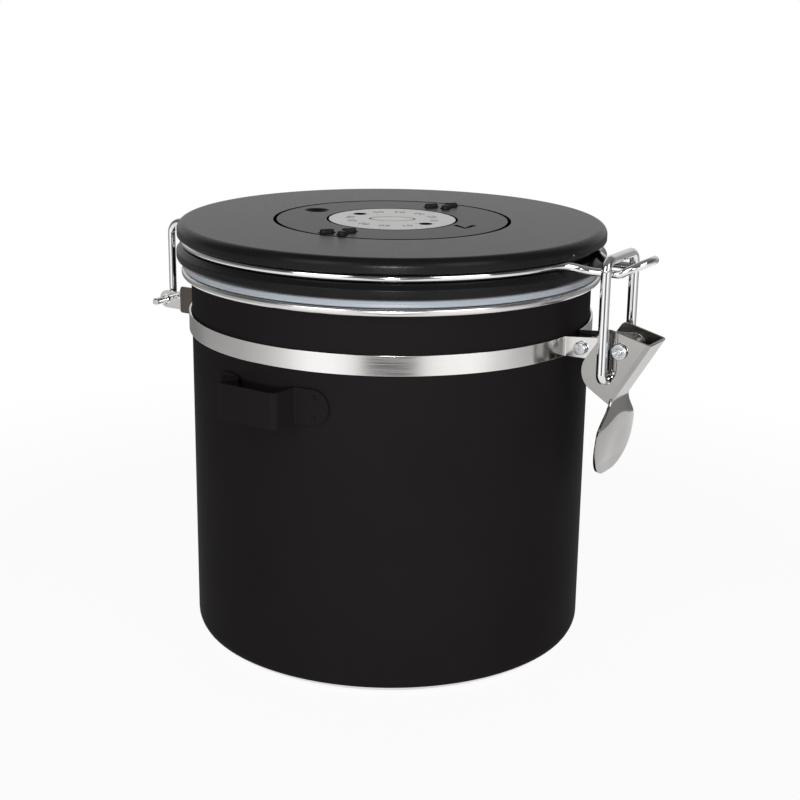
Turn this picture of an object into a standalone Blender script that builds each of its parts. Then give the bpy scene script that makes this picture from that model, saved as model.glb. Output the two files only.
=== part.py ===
"""Coffee canister with a hinged lid, a wire latch and a date dial. Metres, +Z up.

The origin is the centre of the flat underside. The latch faces -Y and the hinge +Y.
In the plane through the latch, "out" is the distance from the canister's axis.
"""
import math

import bmesh
import bpy
from mathutils import Matrix, Vector
from mathutils.geometry import convex_hull_2d, interpolate_bezier

# Clearances, wall thicknesses and small roundings that several pieces share
FIT_GAP = 0.0003
SEAL_GAP = 0.0002
OVERRUN = 0.0010
MERGE_DISTANCE = 0.00001
EDGE_ROUND = 0.0003

# Facets around a turned piece
LARGE_STEPS = 48
MIDDLE_STEPS = 32
SMALL_STEPS = 20
TINY_STEPS = 14
ARC_POINTS = 3

# Canister body
BODY_RADIUS = 0.0600
BODY_WALL = 0.0008
BODY_HEIGHT = 0.1130
FOOT_ROUND = 0.0045
RIM_OVERHANG = 0.0028
RIM_RADIUS = BODY_RADIUS + RIM_OVERHANG
RIM_HEIGHT = 0.0022
RIM_ROUND = 0.0010

# Neck band and its two ears
BAND_THICKNESS = 0.0006
BAND_HEIGHT = 0.0056
BAND_DROP = 0.0159
BAND_CENTRE_HEIGHT = BODY_HEIGHT - BAND_DROP
EAR_FACE_SPACING = 0.0098
EAR_END_RADIUS = 0.0034

# Clamp screw and nut that draw the band tight
SCREW_SHANK_RADIUS = 0.0012
SCREW_HEAD_RADIUS = 0.0019
SCREW_HEAD_HEIGHT = 0.0012
SCREW_STANDOFF = 0.0059
SCREW_OUT = BODY_RADIUS + SCREW_STANDOFF
SCREW_RISE = 0.0002
SCREW_HEIGHT = BAND_CENTRE_HEIGHT + SCREW_RISE
SCREW_END_LENGTH = 0.0010
NUT_RADIUS = 0.0021
NUT_HEIGHT = 0.0018
NUT_SIDES = 6

# Latch lever: a channel with a thumb paddle
PIVOT_STANDOFF = 0.0152
PIVOT_OUT = RIM_RADIUS + PIVOT_STANDOFF
PIVOT_RISE = 0.0011
PIVOT_HEIGHT = BAND_CENTRE_HEIGHT + PIVOT_RISE
LEVER_SHEET = 0.0008
LEVER_SIDE_GAP = 0.00025
LEVER_WIDTH = EAR_FACE_SPACING + 2 * (LEVER_SIDE_GAP + LEVER_SHEET)
PLATE_TOP_ROUND = 0.0015
PLATE_TOP_IN = 0.0033
PLATE_TOP_RISE = 0.0042
WEB_TOP_OUT = 0.0083
WEB_TOP_RISE = 0.0024
WEB_FOOT_IN = 0.0024
WEB_FOOT_DROP = 0.0153
WEB_PROUD = 0.00005
LOBE_IN = 0.0049
LOBE_DROP = 0.0068
LOBE_RADIUS = 0.0063
PADDLE_OVERHANG = 0.00625
PADDLE_HALF_WIDTH = LEVER_WIDTH / 2 + PADDLE_OVERHANG
PADDLE_LENGTH = 0.0216
PADDLE_CROWN = 0.0012
PADDLE_LEAN = 0.0009
PADDLE_HOOK = 0.0020
PADDLE_ROOT_LAP = 0.0012
PADDLE_FLARE_SHARE = 0.42
PADDLE_WIDEST_SHARE = 0.55
PADDLE_TIP_SHARE = 0.16
PADDLE_ACROSS = 10
PADDLE_ALONG = 14

# Rivet that the lever turns on
RIVET_SHANK_RADIUS = 0.0012
RIVET_HEAD_RADIUS = 0.0023
RIVET_HEAD_HEIGHT = 0.0008

# Hoop that the lever pulls down over the lid wire's tongue
HOOP_WIRE_RADIUS = 0.0014
HOOP_HOLE_IN = 0.0036
HOOP_HOLE_DROP = 0.0083
HOOP_SIDE_GAP = 0.00225
HOOP_LEG_SPACING = LEVER_WIDTH + 2 * (HOOP_SIDE_GAP + HOOP_WIRE_RADIUS)
HOOP_BAR_GAP = 0.00125
HOOP_LOWER_BEND = 0.0022
HOOP_UPPER_BEND = 0.0032
HOOP_END_LENGTH = 0.0008

# Lid wire: rear pins, rear legs, two arcs in the lid's groove and the front tongue
WIRE_RADIUS = 0.00115
WIRE_RING_INSET = 0.0008
WIRE_RING_RADIUS = RIM_RADIUS - WIRE_RING_INSET
HINGE_STANDOFF = 0.0087
HINGE_OUT = RIM_RADIUS + HINGE_STANDOFF
HINGE_DROP = 0.0005
HINGE_HEIGHT = BAND_CENTRE_HEIGHT - HINGE_DROP
LEG_SPACING = 0.0336
LEG_UPPER_BEND = 0.0038
LEG_LOWER_BEND = 0.0022
PIN_END_LENGTH = 0.0055
LEG_RUN = 0.0060
LEG_JOIN_ANGLE = math.radians(25.0)
TONGUE_JOIN_ANGLE = math.radians(17.0)
TONGUE_SIDE_GAP = 0.00075
TONGUE_HALF_WIDTH = HOOP_LEG_SPACING / 2 - HOOP_WIRE_RADIUS - WIRE_RADIUS - TONGUE_SIDE_GAP
TONGUE_ROOT_FLARE = 0.0006
TONGUE_DIP = 0.00145
TONGUE_RISE = 0.0037
TONGUE_DIP_RUN = 0.0012
TONGUE_ROOT_RUN = 0.0085
TONGUE_LIFT_RUN = 0.0150
TONGUE_TIP_RUN = 0.0218
RING_ARC_STEP = math.radians(7.5)
BLEND_HANDLE_SHARE = 0.42
BLEND_POINTS = 7
BEND_POINTS = 4

# Hinge bracket at the rear of the band
BRACKET_SHEET = 0.0008
BRACKET_HEIGHT = 0.0083
BRACKET_EAR_GAP = 0.0013
BRACKET_EAR_RADIUS = 0.00275
BRACKET_ROOT_RUN = 0.0060
BRACKET_ROOT_OUT = BODY_RADIUS + BRACKET_ROOT_RUN
BRACKET_ROOT_ROUND = 0.0018

# Scoop holder: a bent strip on the body's side
HOLDER_ANGLE = math.radians(-92.7)
HOLDER_SHEET = 0.0008
HOLDER_DROP = 0.0128
HOLDER_CENTRE_HEIGHT = BAND_CENTRE_HEIGHT - HOLDER_DROP
HOLDER_HEIGHT = 0.0103
HOLDER_WIDTH = 0.0204
HOLDER_DEPTH = 0.0092
HOLDER_FRONT_OUT = BODY_RADIUS + HOLDER_DEPTH
HOLDER_FLANGE_LENGTH = 0.0102
HOLDER_CORNER = 0.0016

# Lid base: flange, plug and inner floor
FLANGE_OVERHANG = 0.0014
FLANGE_RADIUS = RIM_RADIUS + FLANGE_OVERHANG
FLANGE_TOP_INSET = 0.0016
FLANGE_TOP_RADIUS = FLANGE_RADIUS - FLANGE_TOP_INSET
FLANGE_HEIGHT = 0.0044
FLANGE_CHAMFER = 0.0015
FLANGE_FOOT_ROUND = 0.0012
PLUG_INSET = 0.0052
PLUG_RADIUS = BODY_RADIUS - BODY_WALL - PLUG_INSET
PLUG_WALL = 0.0016
PLUG_DEPTH = 0.0079
PLUG_FLOOR = 0.0015
PLUG_ROUND = 0.0008

# Gasket between the rim and the flange
GASKET_INSET = 0.0001
GASKET_RADIUS = RIM_RADIUS - GASKET_INSET
GASKET_THICKNESS = 0.0020
GASKET_LIP_WIDTH = 0.0018
GASKET_LIP_DEPTH = 0.0017
GASKET_ROUND = 0.0004

# Lid cover: top plate with the dial's well
GROOVE_HEIGHT = 0.0027
GROOVE_SIDE_GAP = 0.00045
GROOVE_RADIUS = WIRE_RING_RADIUS - WIRE_RADIUS - GROOVE_SIDE_GAP
COVER_INSET = 0.0002
COVER_RADIUS = FLANGE_RADIUS - COVER_INSET
COVER_HEIGHT = 0.0041
COVER_TOP_ROUND = 0.0024
COVER_SKIRT_WALL = 0.0020
COVER_PLATE = 0.0018
WELL_RADIUS = 0.0355
WELL_DEPTH = 0.0032
WELL_FLOOR = 0.0016
WELL_WALL = 0.0018
STEM_RADIUS = 0.0042
STEM_HOLE_RADIUS = STEM_RADIUS + FIT_GAP

# Screws that pull the cover down on the base, with their bosses
LID_SCREW_COUNT = 4
LID_SCREW_INSET = 0.0075
LID_SCREW_CIRCLE = PLUG_RADIUS - LID_SCREW_INSET
LID_SCREW_FIRST_ANGLE = math.radians(45.0)
LID_SCREW_RADIUS = 0.0014
LID_SCREW_LENGTH = 0.0090
LID_SCREW_HEAD_RADIUS = 0.0028
LID_SCREW_HEAD_HEIGHT = 0.0015
BOSS_RADIUS = 0.0034

# Date dial: outer ring, inner disc, clip and drag ring
DIAL_SIDE_GAP = 0.0006
DIAL_RING_RADIUS = WELL_RADIUS - DIAL_SIDE_GAP
DIAL_RING_FACE = 0.0153
DIAL_RING_BORE = DIAL_RING_RADIUS - DIAL_RING_FACE
DIAL_RING_LIP_WIDTH = 0.0041
DIAL_RING_LIP_BORE = DIAL_RING_BORE - DIAL_RING_LIP_WIDTH
DIAL_RING_LIP = 0.0009
DISC_SIDE_GAP = 0.0004
DISC_RADIUS = DIAL_RING_BORE - DISC_SIDE_GAP
DISC_THICKNESS = 0.0017
STEM_NECK_RADIUS = 0.0032
STEM_NECK_HEIGHT = 0.0012
STEM_FOOT_HEIGHT = 0.0008
CLIP_RADIUS = 0.0065
CLIP_THICKNESS = 0.0006
DRAG_RING_INSET = 0.0090
DRAG_RING_RADIUS = WELL_RADIUS - DRAG_RING_INSET
DRAG_RING_WIDTH = 0.0026
DRAG_GROOVE_DEPTH = 0.0006
DIMPLE_INSET = 0.0075
DIMPLE_CIRCLE = DIAL_RING_RADIUS - DIMPLE_INSET
DIMPLE_RADIUS = 0.0037
DIMPLE_DEPTH = 0.0014
GRIP_INSET = 0.0060
GRIP_CIRCLE = DIAL_RING_RADIUS - GRIP_INSET
GRIP_LENGTH = 0.0042
GRIP_WIDTH = 0.0020
GRIP_SPACING = 0.0065
GRIP_TURN = math.radians(-41.0)
GRIP_NUB_RADIUS = 0.0013
GRIP_NUB_DROP = 0.0042
GRIP_RISE = 0.0011
DISC_HOLE_INSET = 0.0063
DISC_HOLE_CIRCLE = DISC_RADIUS - DISC_HOLE_INSET
DISC_HOLE_RADIUS = 0.0022
DISC_TURN = math.radians(-8.3)

# One-way valve in the plug's floor
VALVE_HOLE_RADIUS = 0.0103
VALVE_FLANGE_RADIUS = 0.0130
VALVE_FLANGE = 0.0010
VALVE_WALL = 0.0013
VALVE_BARREL_HEIGHT = 0.0045
VALVE_VENT_COUNT = 6
VALVE_VENT_RADIUS = 0.0012
VALVE_VENT_CIRCLE = 0.0050
VALVE_STEM_HOLE = 0.0012
MEMBRANE_RADIUS = 0.0070
MEMBRANE_THICKNESS = 0.0006
MEMBRANE_STEM_RADIUS = 0.0009
MEMBRANE_BULB_RADIUS = 0.0015
MEMBRANE_BULB_HEIGHT = 0.0010
CAP_WALL = 0.0012
CAP_TOP = 0.0010

# Heights that follow from the sizes above
SEAT_HEIGHT = BODY_HEIGHT + SEAL_GAP
FLANGE_FOOT = SEAT_HEIGHT + GASKET_THICKNESS + SEAL_GAP
FLANGE_TOP = FLANGE_FOOT + FLANGE_HEIGHT
WIRE_HEIGHT = FLANGE_TOP + GROOVE_HEIGHT / 2
COVER_FOOT = FLANGE_TOP + GROOVE_HEIGHT
LID_TOP = COVER_FOOT + COVER_HEIGHT
WELL_FLOOR_TOP = LID_TOP - WELL_DEPTH
WELL_FLOOR_FOOT = WELL_FLOOR_TOP - WELL_FLOOR
PLUG_FOOT = FLANGE_FOOT - PLUG_DEPTH
PLUG_FLOOR_TOP = PLUG_FOOT + PLUG_FLOOR

# Places in the latch's plane, as distance out and height
PIVOT = Vector((PIVOT_OUT, PIVOT_HEIGHT))
HOOP_HOLE = PIVOT + Vector((-HOOP_HOLE_IN, -HOOP_HOLE_DROP))
HOOP_LENGTH = WIRE_HEIGHT - TONGUE_DIP + WIRE_RADIUS + HOOP_WIRE_RADIUS + HOOP_BAR_GAP - HOOP_HOLE.y
WEB_TOP = PIVOT + Vector((WEB_TOP_OUT, WEB_TOP_RISE))
WEB_FOOT = PIVOT + Vector((-WEB_FOOT_IN, -WEB_FOOT_DROP))
EAR_PLATE_CENTRE = (EAR_FACE_SPACING - BAND_THICKNESS) / 2
LEVER_PLATE_CENTRE = (LEVER_WIDTH - LEVER_SHEET) / 2
BRACKET_EAR_CENTRE = LEG_SPACING / 2 + WIRE_RADIUS + BRACKET_EAR_GAP + BRACKET_SHEET / 2

# Local axes of flat plates that stand in the latch's plane and in the hinge's plane
LATCH_PLANE = Matrix(((0, 0, -1, 0), (-1, 0, 0, 0), (0, 1, 0, 0), (0, 0, 0, 1)))
HINGE_PLANE = Matrix(((0, 0, 1, 0), (1, 0, 0, 0), (0, 1, 0, 0), (0, 0, 0, 1)))
ALONG_X = Matrix.Rotation(math.pi / 2, 4, 'Y')

# Colour, metallic and roughness of each finish
FINISHES = {
    "painted_black": ((0.030, 0.028, 0.030, 1.0), 0.0, 0.55),
    "polished_steel": ((0.72, 0.71, 0.70, 1.0), 1.0, 0.16),
    "chrome_wire": ((0.80, 0.80, 0.81, 1.0), 1.0, 0.08),
    "black_plastic": ((0.050, 0.050, 0.050, 1.0), 0.0, 0.50),
    "clear_silicone": ((0.58, 0.62, 0.68, 1.0), 0.0, 0.40),
    "silver_disc": ((0.62, 0.62, 0.61, 1.0), 0.0, 0.40),
    "black_rubber": ((0.020, 0.020, 0.020, 1.0), 0.0, 0.80),
    "zinc_steel": ((0.62, 0.63, 0.65, 1.0), 1.0, 0.30),
}


def clear_scene():
    """Remove every object of the scene."""
    for item in list(bpy.data.objects):
        bpy.data.objects.remove(item, do_unlink=True)


def new_collection(name):
    """Make a collection in the scene and return it."""
    collection = bpy.data.collections.new(name)
    bpy.context.scene.collection.children.link(collection)
    return collection


def make_finish(name):
    """Make the material for one finish."""
    colour, metallic, roughness = FINISHES[name]
    material = bpy.data.materials.new(name)
    material.use_nodes = True
    shader = material.node_tree.nodes["Principled BSDF"]
    shader.inputs["Base Color"].default_value = colour
    shader.inputs["Metallic"].default_value = metallic
    shader.inputs["Roughness"].default_value = roughness
    return material


def add_object(name, data, collection, finish=None):
    """Link an object that holds the given data, with its finish."""
    item = bpy.data.objects.new(name, data)
    collection.objects.link(item)
    if finish is not None:
        data.materials.append(make_finish(finish))
    return item


def arc(centre_out, centre_height, radius, start, end, points=ARC_POINTS):
    """Points along an arc of a profile, from the start angle to the end angle in degrees."""
    result = []
    for index in range(points + 1):
        angle = math.radians(start + (end - start) * index / points)
        across = centre_out + radius * math.cos(angle)
        result.append((across, centre_height + radius * math.sin(angle)))
    return result


def turned(name, profile, steps, collection, finish=None):
    """Turn a profile of (radius, height) points about Z. It runs down its outer side."""
    on_axis = profile[0][0] == 0 and profile[-1][0] == 0
    shape = bmesh.new()
    verts = [shape.verts.new((radius, 0, height)) for radius, height in profile]
    for first, second in zip(verts, verts[1:]):
        shape.edges.new((first, second))
    if not on_axis:
        shape.edges.new((verts[-1], verts[0]))
    mesh = bpy.data.meshes.new(name)
    shape.to_mesh(mesh)
    shape.free()
    item = add_object(name, mesh, collection, finish)
    turn = item.modifiers.new("Turn", 'SCREW')
    turn.axis = 'Z'
    turn.angle = math.tau
    turn.steps = steps
    turn.render_steps = steps
    turn.use_smooth_shade = True
    turn.use_merge_vertices = True
    turn.merge_threshold = MERGE_DISTANCE
    return item


def hide_tool(item):
    """Keep a cutter out of the finished object."""
    item.hide_render = True
    item.display_type = 'WIRE'
    return item


def cylinder(name, radius, length, matrix, steps, tools):
    """A hidden cylinder along its local Z, centred on its origin."""
    shape = bmesh.new()
    bmesh.ops.create_cone(shape, cap_ends=True, segments=steps, radius1=radius, radius2=radius,
                          depth=length)
    mesh = bpy.data.meshes.new(name)
    shape.to_mesh(mesh)
    shape.free()
    item = add_object(name, mesh, tools)
    item.matrix_world = matrix
    return hide_tool(item)


def boolean(target, tool, operation):
    """Cut the target with a hidden tool, or join the tool to it."""
    change = target.modifiers.new(tool.name, 'BOOLEAN')
    change.operation = operation
    change.solver = 'EXACT'
    change.object = tool


def cut(target, tool):
    """Take the tool's volume away from the target."""
    boolean(target, tool, 'DIFFERENCE')


def join(target, tool):
    """Add the tool's volume to the target."""
    boolean(target, tool, 'UNION')


def rounded_hull(discs, points=ARC_POINTS * 4):
    """Outline drawn tight around discs given as (across, up, radius)."""
    cloud = []
    for across, up, radius in discs:
        for index in range(points):
            angle = math.tau * index / points
            cloud.append((across + radius * math.cos(angle), up + radius * math.sin(angle)))
    return [cloud[index] for index in convex_hull_2d(cloud)]


def plate(name, outline, thickness, matrix, collection, finish=None):
    """A flat plate: a filled outline, extruded to its thickness and turned into a mesh."""
    curve = bpy.data.curves.new(name + "_outline", 'CURVE')
    curve.dimensions = '2D'
    curve.fill_mode = 'BOTH'
    curve.extrude = thickness / 2
    spline = curve.splines.new('POLY')
    spline.points.add(len(outline) - 1)
    for point, (across, up) in zip(spline.points, outline):
        point.co = (across, up, 0, 1)
    spline.use_cyclic_u = True
    drawn = add_object(name + "_outline", curve, collection)
    drawn.matrix_world = matrix
    bpy.context.view_layer.update()
    seen = drawn.evaluated_get(bpy.context.evaluated_depsgraph_get())
    mesh = bpy.data.meshes.new_from_object(seen)
    shape = bmesh.new()
    shape.from_mesh(mesh)
    bmesh.ops.remove_doubles(shape, verts=shape.verts, dist=MERGE_DISTANCE)
    bmesh.ops.recalc_face_normals(shape, faces=shape.faces)
    shape.to_mesh(mesh)
    shape.free()
    item = add_object(name, mesh, collection, finish)
    item.matrix_world = drawn.matrix_world
    bpy.data.objects.remove(drawn, do_unlink=True)
    return item


def tool_plate(name, outline, thickness, matrix, tools):
    """A hidden plate that is joined to a piece or cut from it."""
    return hide_tool(plate(name, outline, thickness, matrix, tools))


def bent_strip(name, path, low, high, thickness, collection, finish):
    """Sheet metal that follows a path in plan between two heights."""
    shape = bmesh.new()
    verts = [shape.verts.new((across, along, low)) for across, along in path]
    edges = [shape.edges.new(pair) for pair in zip(verts, verts[1:])]
    raised = bmesh.ops.extrude_edge_only(shape, edges=edges)["geom"]
    bmesh.ops.translate(shape, verts=[part for part in raised if isinstance(part, bmesh.types.BMVert)],
                        vec=(0, 0, high - low))
    mesh = bpy.data.meshes.new(name)
    shape.to_mesh(mesh)
    shape.free()
    item = add_object(name, mesh, collection, finish)
    wall = item.modifiers.new("Wall", 'SOLIDIFY')
    wall.thickness = thickness
    wall.offset = 0
    wall.use_even_offset = True
    return item


def wire(name, points, radius, collection, finish):
    """A round wire with closed ends along a path."""
    curve = bpy.data.curves.new(name, 'CURVE')
    curve.dimensions = '3D'
    curve.bevel_depth = radius
    curve.bevel_resolution = 2
    curve.use_fill_caps = True
    spline = curve.splines.new('POLY')
    spline.points.add(len(points) - 1)
    for point, place in zip(spline.points, points):
        point.co = (*place, 1)
    return add_object(name, curve, collection, finish)


def bend(corner, towards, away, radius):
    """Points of a round bend at a corner between the directions to its two neighbours."""
    first = (towards - corner).normalized()
    second = (away - corner).normalized()
    half = first.angle(second) / 2
    setback = radius / math.tan(half)
    middle = corner + (first + second).normalized() * (radius / math.sin(half))
    start = (corner + first * setback - middle).normalized()
    end = (corner + second * setback - middle).normalized()
    return [middle + start.slerp(end, index / BEND_POINTS) * radius for index in range(BEND_POINTS + 1)]


def arc_plan(radius, start, end, count):
    """Plan points on a circle about the axis. Angles are measured from -Y towards +X."""
    points = []
    for index in range(count + 1):
        angle = start + (end - start) * index / count
        points.append((radius * math.sin(angle), -radius * math.cos(angle)))
    return points


def about_x(sideways, out, height, facing):
    """Place of a turned piece whose axis lies along X, on the latch's or hinge's side."""
    return Matrix.Translation((sideways, facing * out, height)) @ ALONG_X


def make_body(parts):
    """Steel cup, drawn in one piece with its rolled rim."""
    inner = BODY_RADIUS - BODY_WALL
    rim_foot = BODY_HEIGHT - RIM_HEIGHT
    profile = arc(RIM_RADIUS - RIM_ROUND, BODY_HEIGHT - RIM_ROUND, RIM_ROUND, 90, 0)
    profile += arc(RIM_RADIUS - RIM_ROUND, rim_foot + RIM_ROUND, RIM_ROUND, 0, -90)
    profile.append((BODY_RADIUS, rim_foot))
    profile += arc(BODY_RADIUS - FOOT_ROUND, FOOT_ROUND, FOOT_ROUND, 0, -90)
    profile.append((0, 0))
    inside = [(0, BODY_WALL)]
    inside += arc(BODY_RADIUS - FOOT_ROUND, FOOT_ROUND, FOOT_ROUND - BODY_WALL, -90, 0)
    inside += arc(inner + RIM_ROUND, BODY_HEIGHT - RIM_ROUND, RIM_ROUND, 180, 90)
    return turned("body_shell", profile + inside, LARGE_STEPS, parts, "painted_black")


def make_band(parts, tools):
    """Strap round the neck whose ends are bent out as the latch's ears."""
    radius = BODY_RADIUS + FIT_GAP + BAND_THICKNESS / 2
    gap_angle = math.asin(EAR_PLATE_CENTRE / radius)
    low = BAND_CENTRE_HEIGHT - BAND_HEIGHT / 2
    high = BAND_CENTRE_HEIGHT + BAND_HEIGHT / 2
    path = arc_plan(radius, gap_angle, math.tau - gap_angle, LARGE_STEPS)
    band = bent_strip("neck_band", path, low, high, BAND_THICKNESS, parts, "polished_steel")
    corner = EDGE_ROUND
    root = radius * math.cos(gap_angle) + corner
    outline = rounded_hull([(root, low + corner + WEB_PROUD, corner), (root, high - corner - WEB_PROUD, corner),
                            (PIVOT_OUT, PIVOT_HEIGHT, EAR_END_RADIUS)])
    for side, label in ((-1, "near"), (1, "far")):
        place = Matrix.Translation((side * EAR_PLATE_CENTRE, 0, 0)) @ LATCH_PLANE
        join(band, tool_plate("ear_" + label, outline, BAND_THICKNESS, place, tools))
    length = EAR_FACE_SPACING + 2 * OVERRUN
    cut(band, cylinder("ear_rivet_hole", RIVET_SHANK_RADIUS + FIT_GAP, length,
                       about_x(0, PIVOT_OUT, PIVOT_HEIGHT, -1), TINY_STEPS, tools))
    cut(band, cylinder("ear_screw_hole", SCREW_SHANK_RADIUS + FIT_GAP, length,
                       about_x(0, SCREW_OUT, SCREW_HEIGHT, -1), TINY_STEPS, tools))
    return band


def make_clamp(parts, tools):
    """Pan-head screw and hexagonal nut through the band's ears."""
    face = EAR_FACE_SPACING / 2 + FIT_GAP
    tip = face + NUT_HEIGHT + SCREW_END_LENGTH
    profile = [(0, face + SCREW_HEAD_HEIGHT)]
    profile += arc(SCREW_HEAD_RADIUS - EDGE_ROUND, face + SCREW_HEAD_HEIGHT - EDGE_ROUND, EDGE_ROUND, 90, 0, 2)
    profile += [(SCREW_HEAD_RADIUS, face), (SCREW_SHANK_RADIUS, face), (SCREW_SHANK_RADIUS, -tip), (0, -tip)]
    screw = turned("clamp_screw", profile, TINY_STEPS, parts, "zinc_steel")
    screw.matrix_world = Matrix.Translation((0, -SCREW_OUT, SCREW_HEIGHT)) @ Matrix.Rotation(-math.pi / 2, 4, 'Y')
    nut = cylinder("clamp_nut", NUT_RADIUS, NUT_HEIGHT,
                   about_x(face + NUT_HEIGHT / 2, SCREW_OUT, SCREW_HEIGHT, -1), NUT_SIDES, parts)
    nut.hide_render = False
    nut.display_type = 'TEXTURED'
    nut.data.materials.append(make_finish("zinc_steel"))
    cut(nut, cylinder("nut_thread", SCREW_SHANK_RADIUS + FIT_GAP, NUT_HEIGHT + 2 * OVERRUN,
                      nut.matrix_world, TINY_STEPS, tools))
    return screw, nut


def paddle_half_width(along):
    """Half the paddle's width at a share of its length: flared, widest low, round at its end."""
    root = LEVER_WIDTH / 2
    if along < PADDLE_FLARE_SHARE:
        swing = (1 - math.cos(math.pi * along / PADDLE_FLARE_SHARE)) / 2
        return root + (PADDLE_HALF_WIDTH - root) * swing
    if along < PADDLE_WIDEST_SHARE:
        return PADDLE_HALF_WIDTH
    fall = (along - PADDLE_WIDEST_SHARE) / (1 - PADDLE_WIDEST_SHARE)
    return PADDLE_HALF_WIDTH * (PADDLE_TIP_SHARE + (1 - PADDLE_TIP_SHARE) * math.sqrt(1 - fall * fall))


def make_paddle(tools):
    """Crowned thumb paddle that runs on from the lever's web."""
    shape = bmesh.new()
    bmesh.ops.create_grid(shape, x_segments=PADDLE_ACROSS, y_segments=PADDLE_ALONG, size=1)
    for vert in shape.verts:
        along = (1 - vert.co.y) / 2
        sideways = vert.co.x
        half = paddle_half_width(along)
        drop = along * PADDLE_LENGTH - PADDLE_ROOT_LAP * (1 - along)
        slope = (1 - along) ** 2
        crown = PADDLE_CROWN * (1 - sideways ** 2) * math.sin(math.pi * min(along * 1.2, 1))
        out = WEB_FOOT.x + slope * PADDLE_LEAN - along ** 3 * PADDLE_HOOK + crown - LEVER_SHEET / 2
        vert.co = (sideways * half, -out, WEB_FOOT.y - drop)
    bmesh.ops.recalc_face_normals(shape, faces=shape.faces)
    mesh = bpy.data.meshes.new("paddle")
    shape.to_mesh(mesh)
    shape.free()
    paddle = add_object("paddle", mesh, tools)
    wall = paddle.modifiers.new("Wall", 'SOLIDIFY')
    wall.thickness = LEVER_SHEET
    wall.offset = 0
    wall.use_even_offset = True
    return hide_tool(paddle)


def make_lever(parts, tools):
    """Latch lever: two side plates, a web between their outer edges and the thumb paddle."""
    half_sheet = LEVER_SHEET / 2
    outline = rounded_hull([
        (PIVOT.x - PLATE_TOP_IN, PIVOT.y + PLATE_TOP_RISE, PLATE_TOP_ROUND),
        (WEB_TOP.x, WEB_TOP.y, half_sheet),
        (WEB_FOOT.x, WEB_FOOT.y, half_sheet),
        (PIVOT.x - LOBE_IN, PIVOT.y - LOBE_DROP, LOBE_RADIUS),
    ])
    near = Matrix.Translation((-LEVER_PLATE_CENTRE, 0, 0)) @ LATCH_PLANE
    lever = plate("latch_lever", outline, LEVER_SHEET, near, parts, "polished_steel")
    far = Matrix.Translation((LEVER_PLATE_CENTRE, 0, 0)) @ LATCH_PLANE
    join(lever, tool_plate("lever_far_plate", outline, LEVER_SHEET, far, tools))
    web_outline = rounded_hull([(WEB_TOP.x, WEB_TOP.y, half_sheet + WEB_PROUD),
                                (WEB_FOOT.x, WEB_FOOT.y, half_sheet + WEB_PROUD)])
    join(lever, tool_plate("lever_web", web_outline, LEVER_WIDTH + 2 * WEB_PROUD, LATCH_PLANE, tools))
    join(lever, make_paddle(tools))
    length = LEVER_WIDTH + 2 * OVERRUN
    cut(lever, cylinder("lever_rivet_hole", RIVET_SHANK_RADIUS + FIT_GAP, length,
                        about_x(0, PIVOT.x, PIVOT.y, -1), TINY_STEPS, tools))
    cut(lever, cylinder("lever_hoop_hole", HOOP_WIRE_RADIUS + FIT_GAP, length,
                        about_x(0, HOOP_HOLE.x, HOOP_HOLE.y, -1), TINY_STEPS, tools))
    return lever


def make_rivet(parts):
    """Rivet through the lever's plates and the band's ears, headed at both ends."""
    face = LEVER_WIDTH / 2 + FIT_GAP
    top = face + RIVET_HEAD_HEIGHT
    head = arc(RIVET_HEAD_RADIUS - EDGE_ROUND, top - EDGE_ROUND, EDGE_ROUND, 90, 0, 2)
    profile = [(0, top)] + head + [(RIVET_HEAD_RADIUS, face), (RIVET_SHANK_RADIUS, face)]
    profile += [(radius, -height) for radius, height in reversed(profile)]
    rivet = turned("lever_rivet", profile, TINY_STEPS, parts, "zinc_steel")
    rivet.matrix_world = about_x(0, PIVOT.x, PIVOT.y, -1)
    return rivet


def make_hoop(parts):
    """Wire hoop: its ends turn in the lever, and its bar bears on the lid wire's tongue."""
    half = HOOP_LEG_SPACING / 2
    end = LEVER_WIDTH / 2 - LEVER_SHEET - HOOP_END_LENGTH
    low = HOOP_HOLE.y
    high = low + HOOP_LENGTH
    out = HOOP_HOLE.x
    side = [Vector((end, -out, low))]
    side += bend(Vector((half, -out, low)), side[0], Vector((half, -out, high)), HOOP_LOWER_BEND)
    side += bend(Vector((half, -out, high)), Vector((half, -out, low)), Vector((0, -out, high)), HOOP_UPPER_BEND)
    other = [Vector((-point.x, point.y, point.z)) for point in reversed(side)]
    hoop = wire("latch_hoop", side + other, HOOP_WIRE_RADIUS, parts, "chrome_wire")
    return hoop


def tongue_height(out):
    """Height of the lid wire's centre line along its tongue: a dip for the hoop, then a rise."""
    run = out - WIRE_RING_RADIUS
    dip = min(max((run - TONGUE_DIP_RUN) / (TONGUE_ROOT_RUN - TONGUE_DIP_RUN), 0), 1)
    lift = min(max((run - TONGUE_LIFT_RUN) / (TONGUE_TIP_RUN - TONGUE_LIFT_RUN), 0), 1)
    return WIRE_HEIGHT - TONGUE_DIP * math.sin(dip * math.pi / 2) + TONGUE_RISE * lift


def blend(start, start_way, end, end_way):
    """Smooth stretch of wire between two places with given directions."""
    reach = (end - start).length * BLEND_HANDLE_SHARE
    return interpolate_bezier(start, start + start_way * reach, end - end_way * reach, end, BLEND_POINTS)


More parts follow.
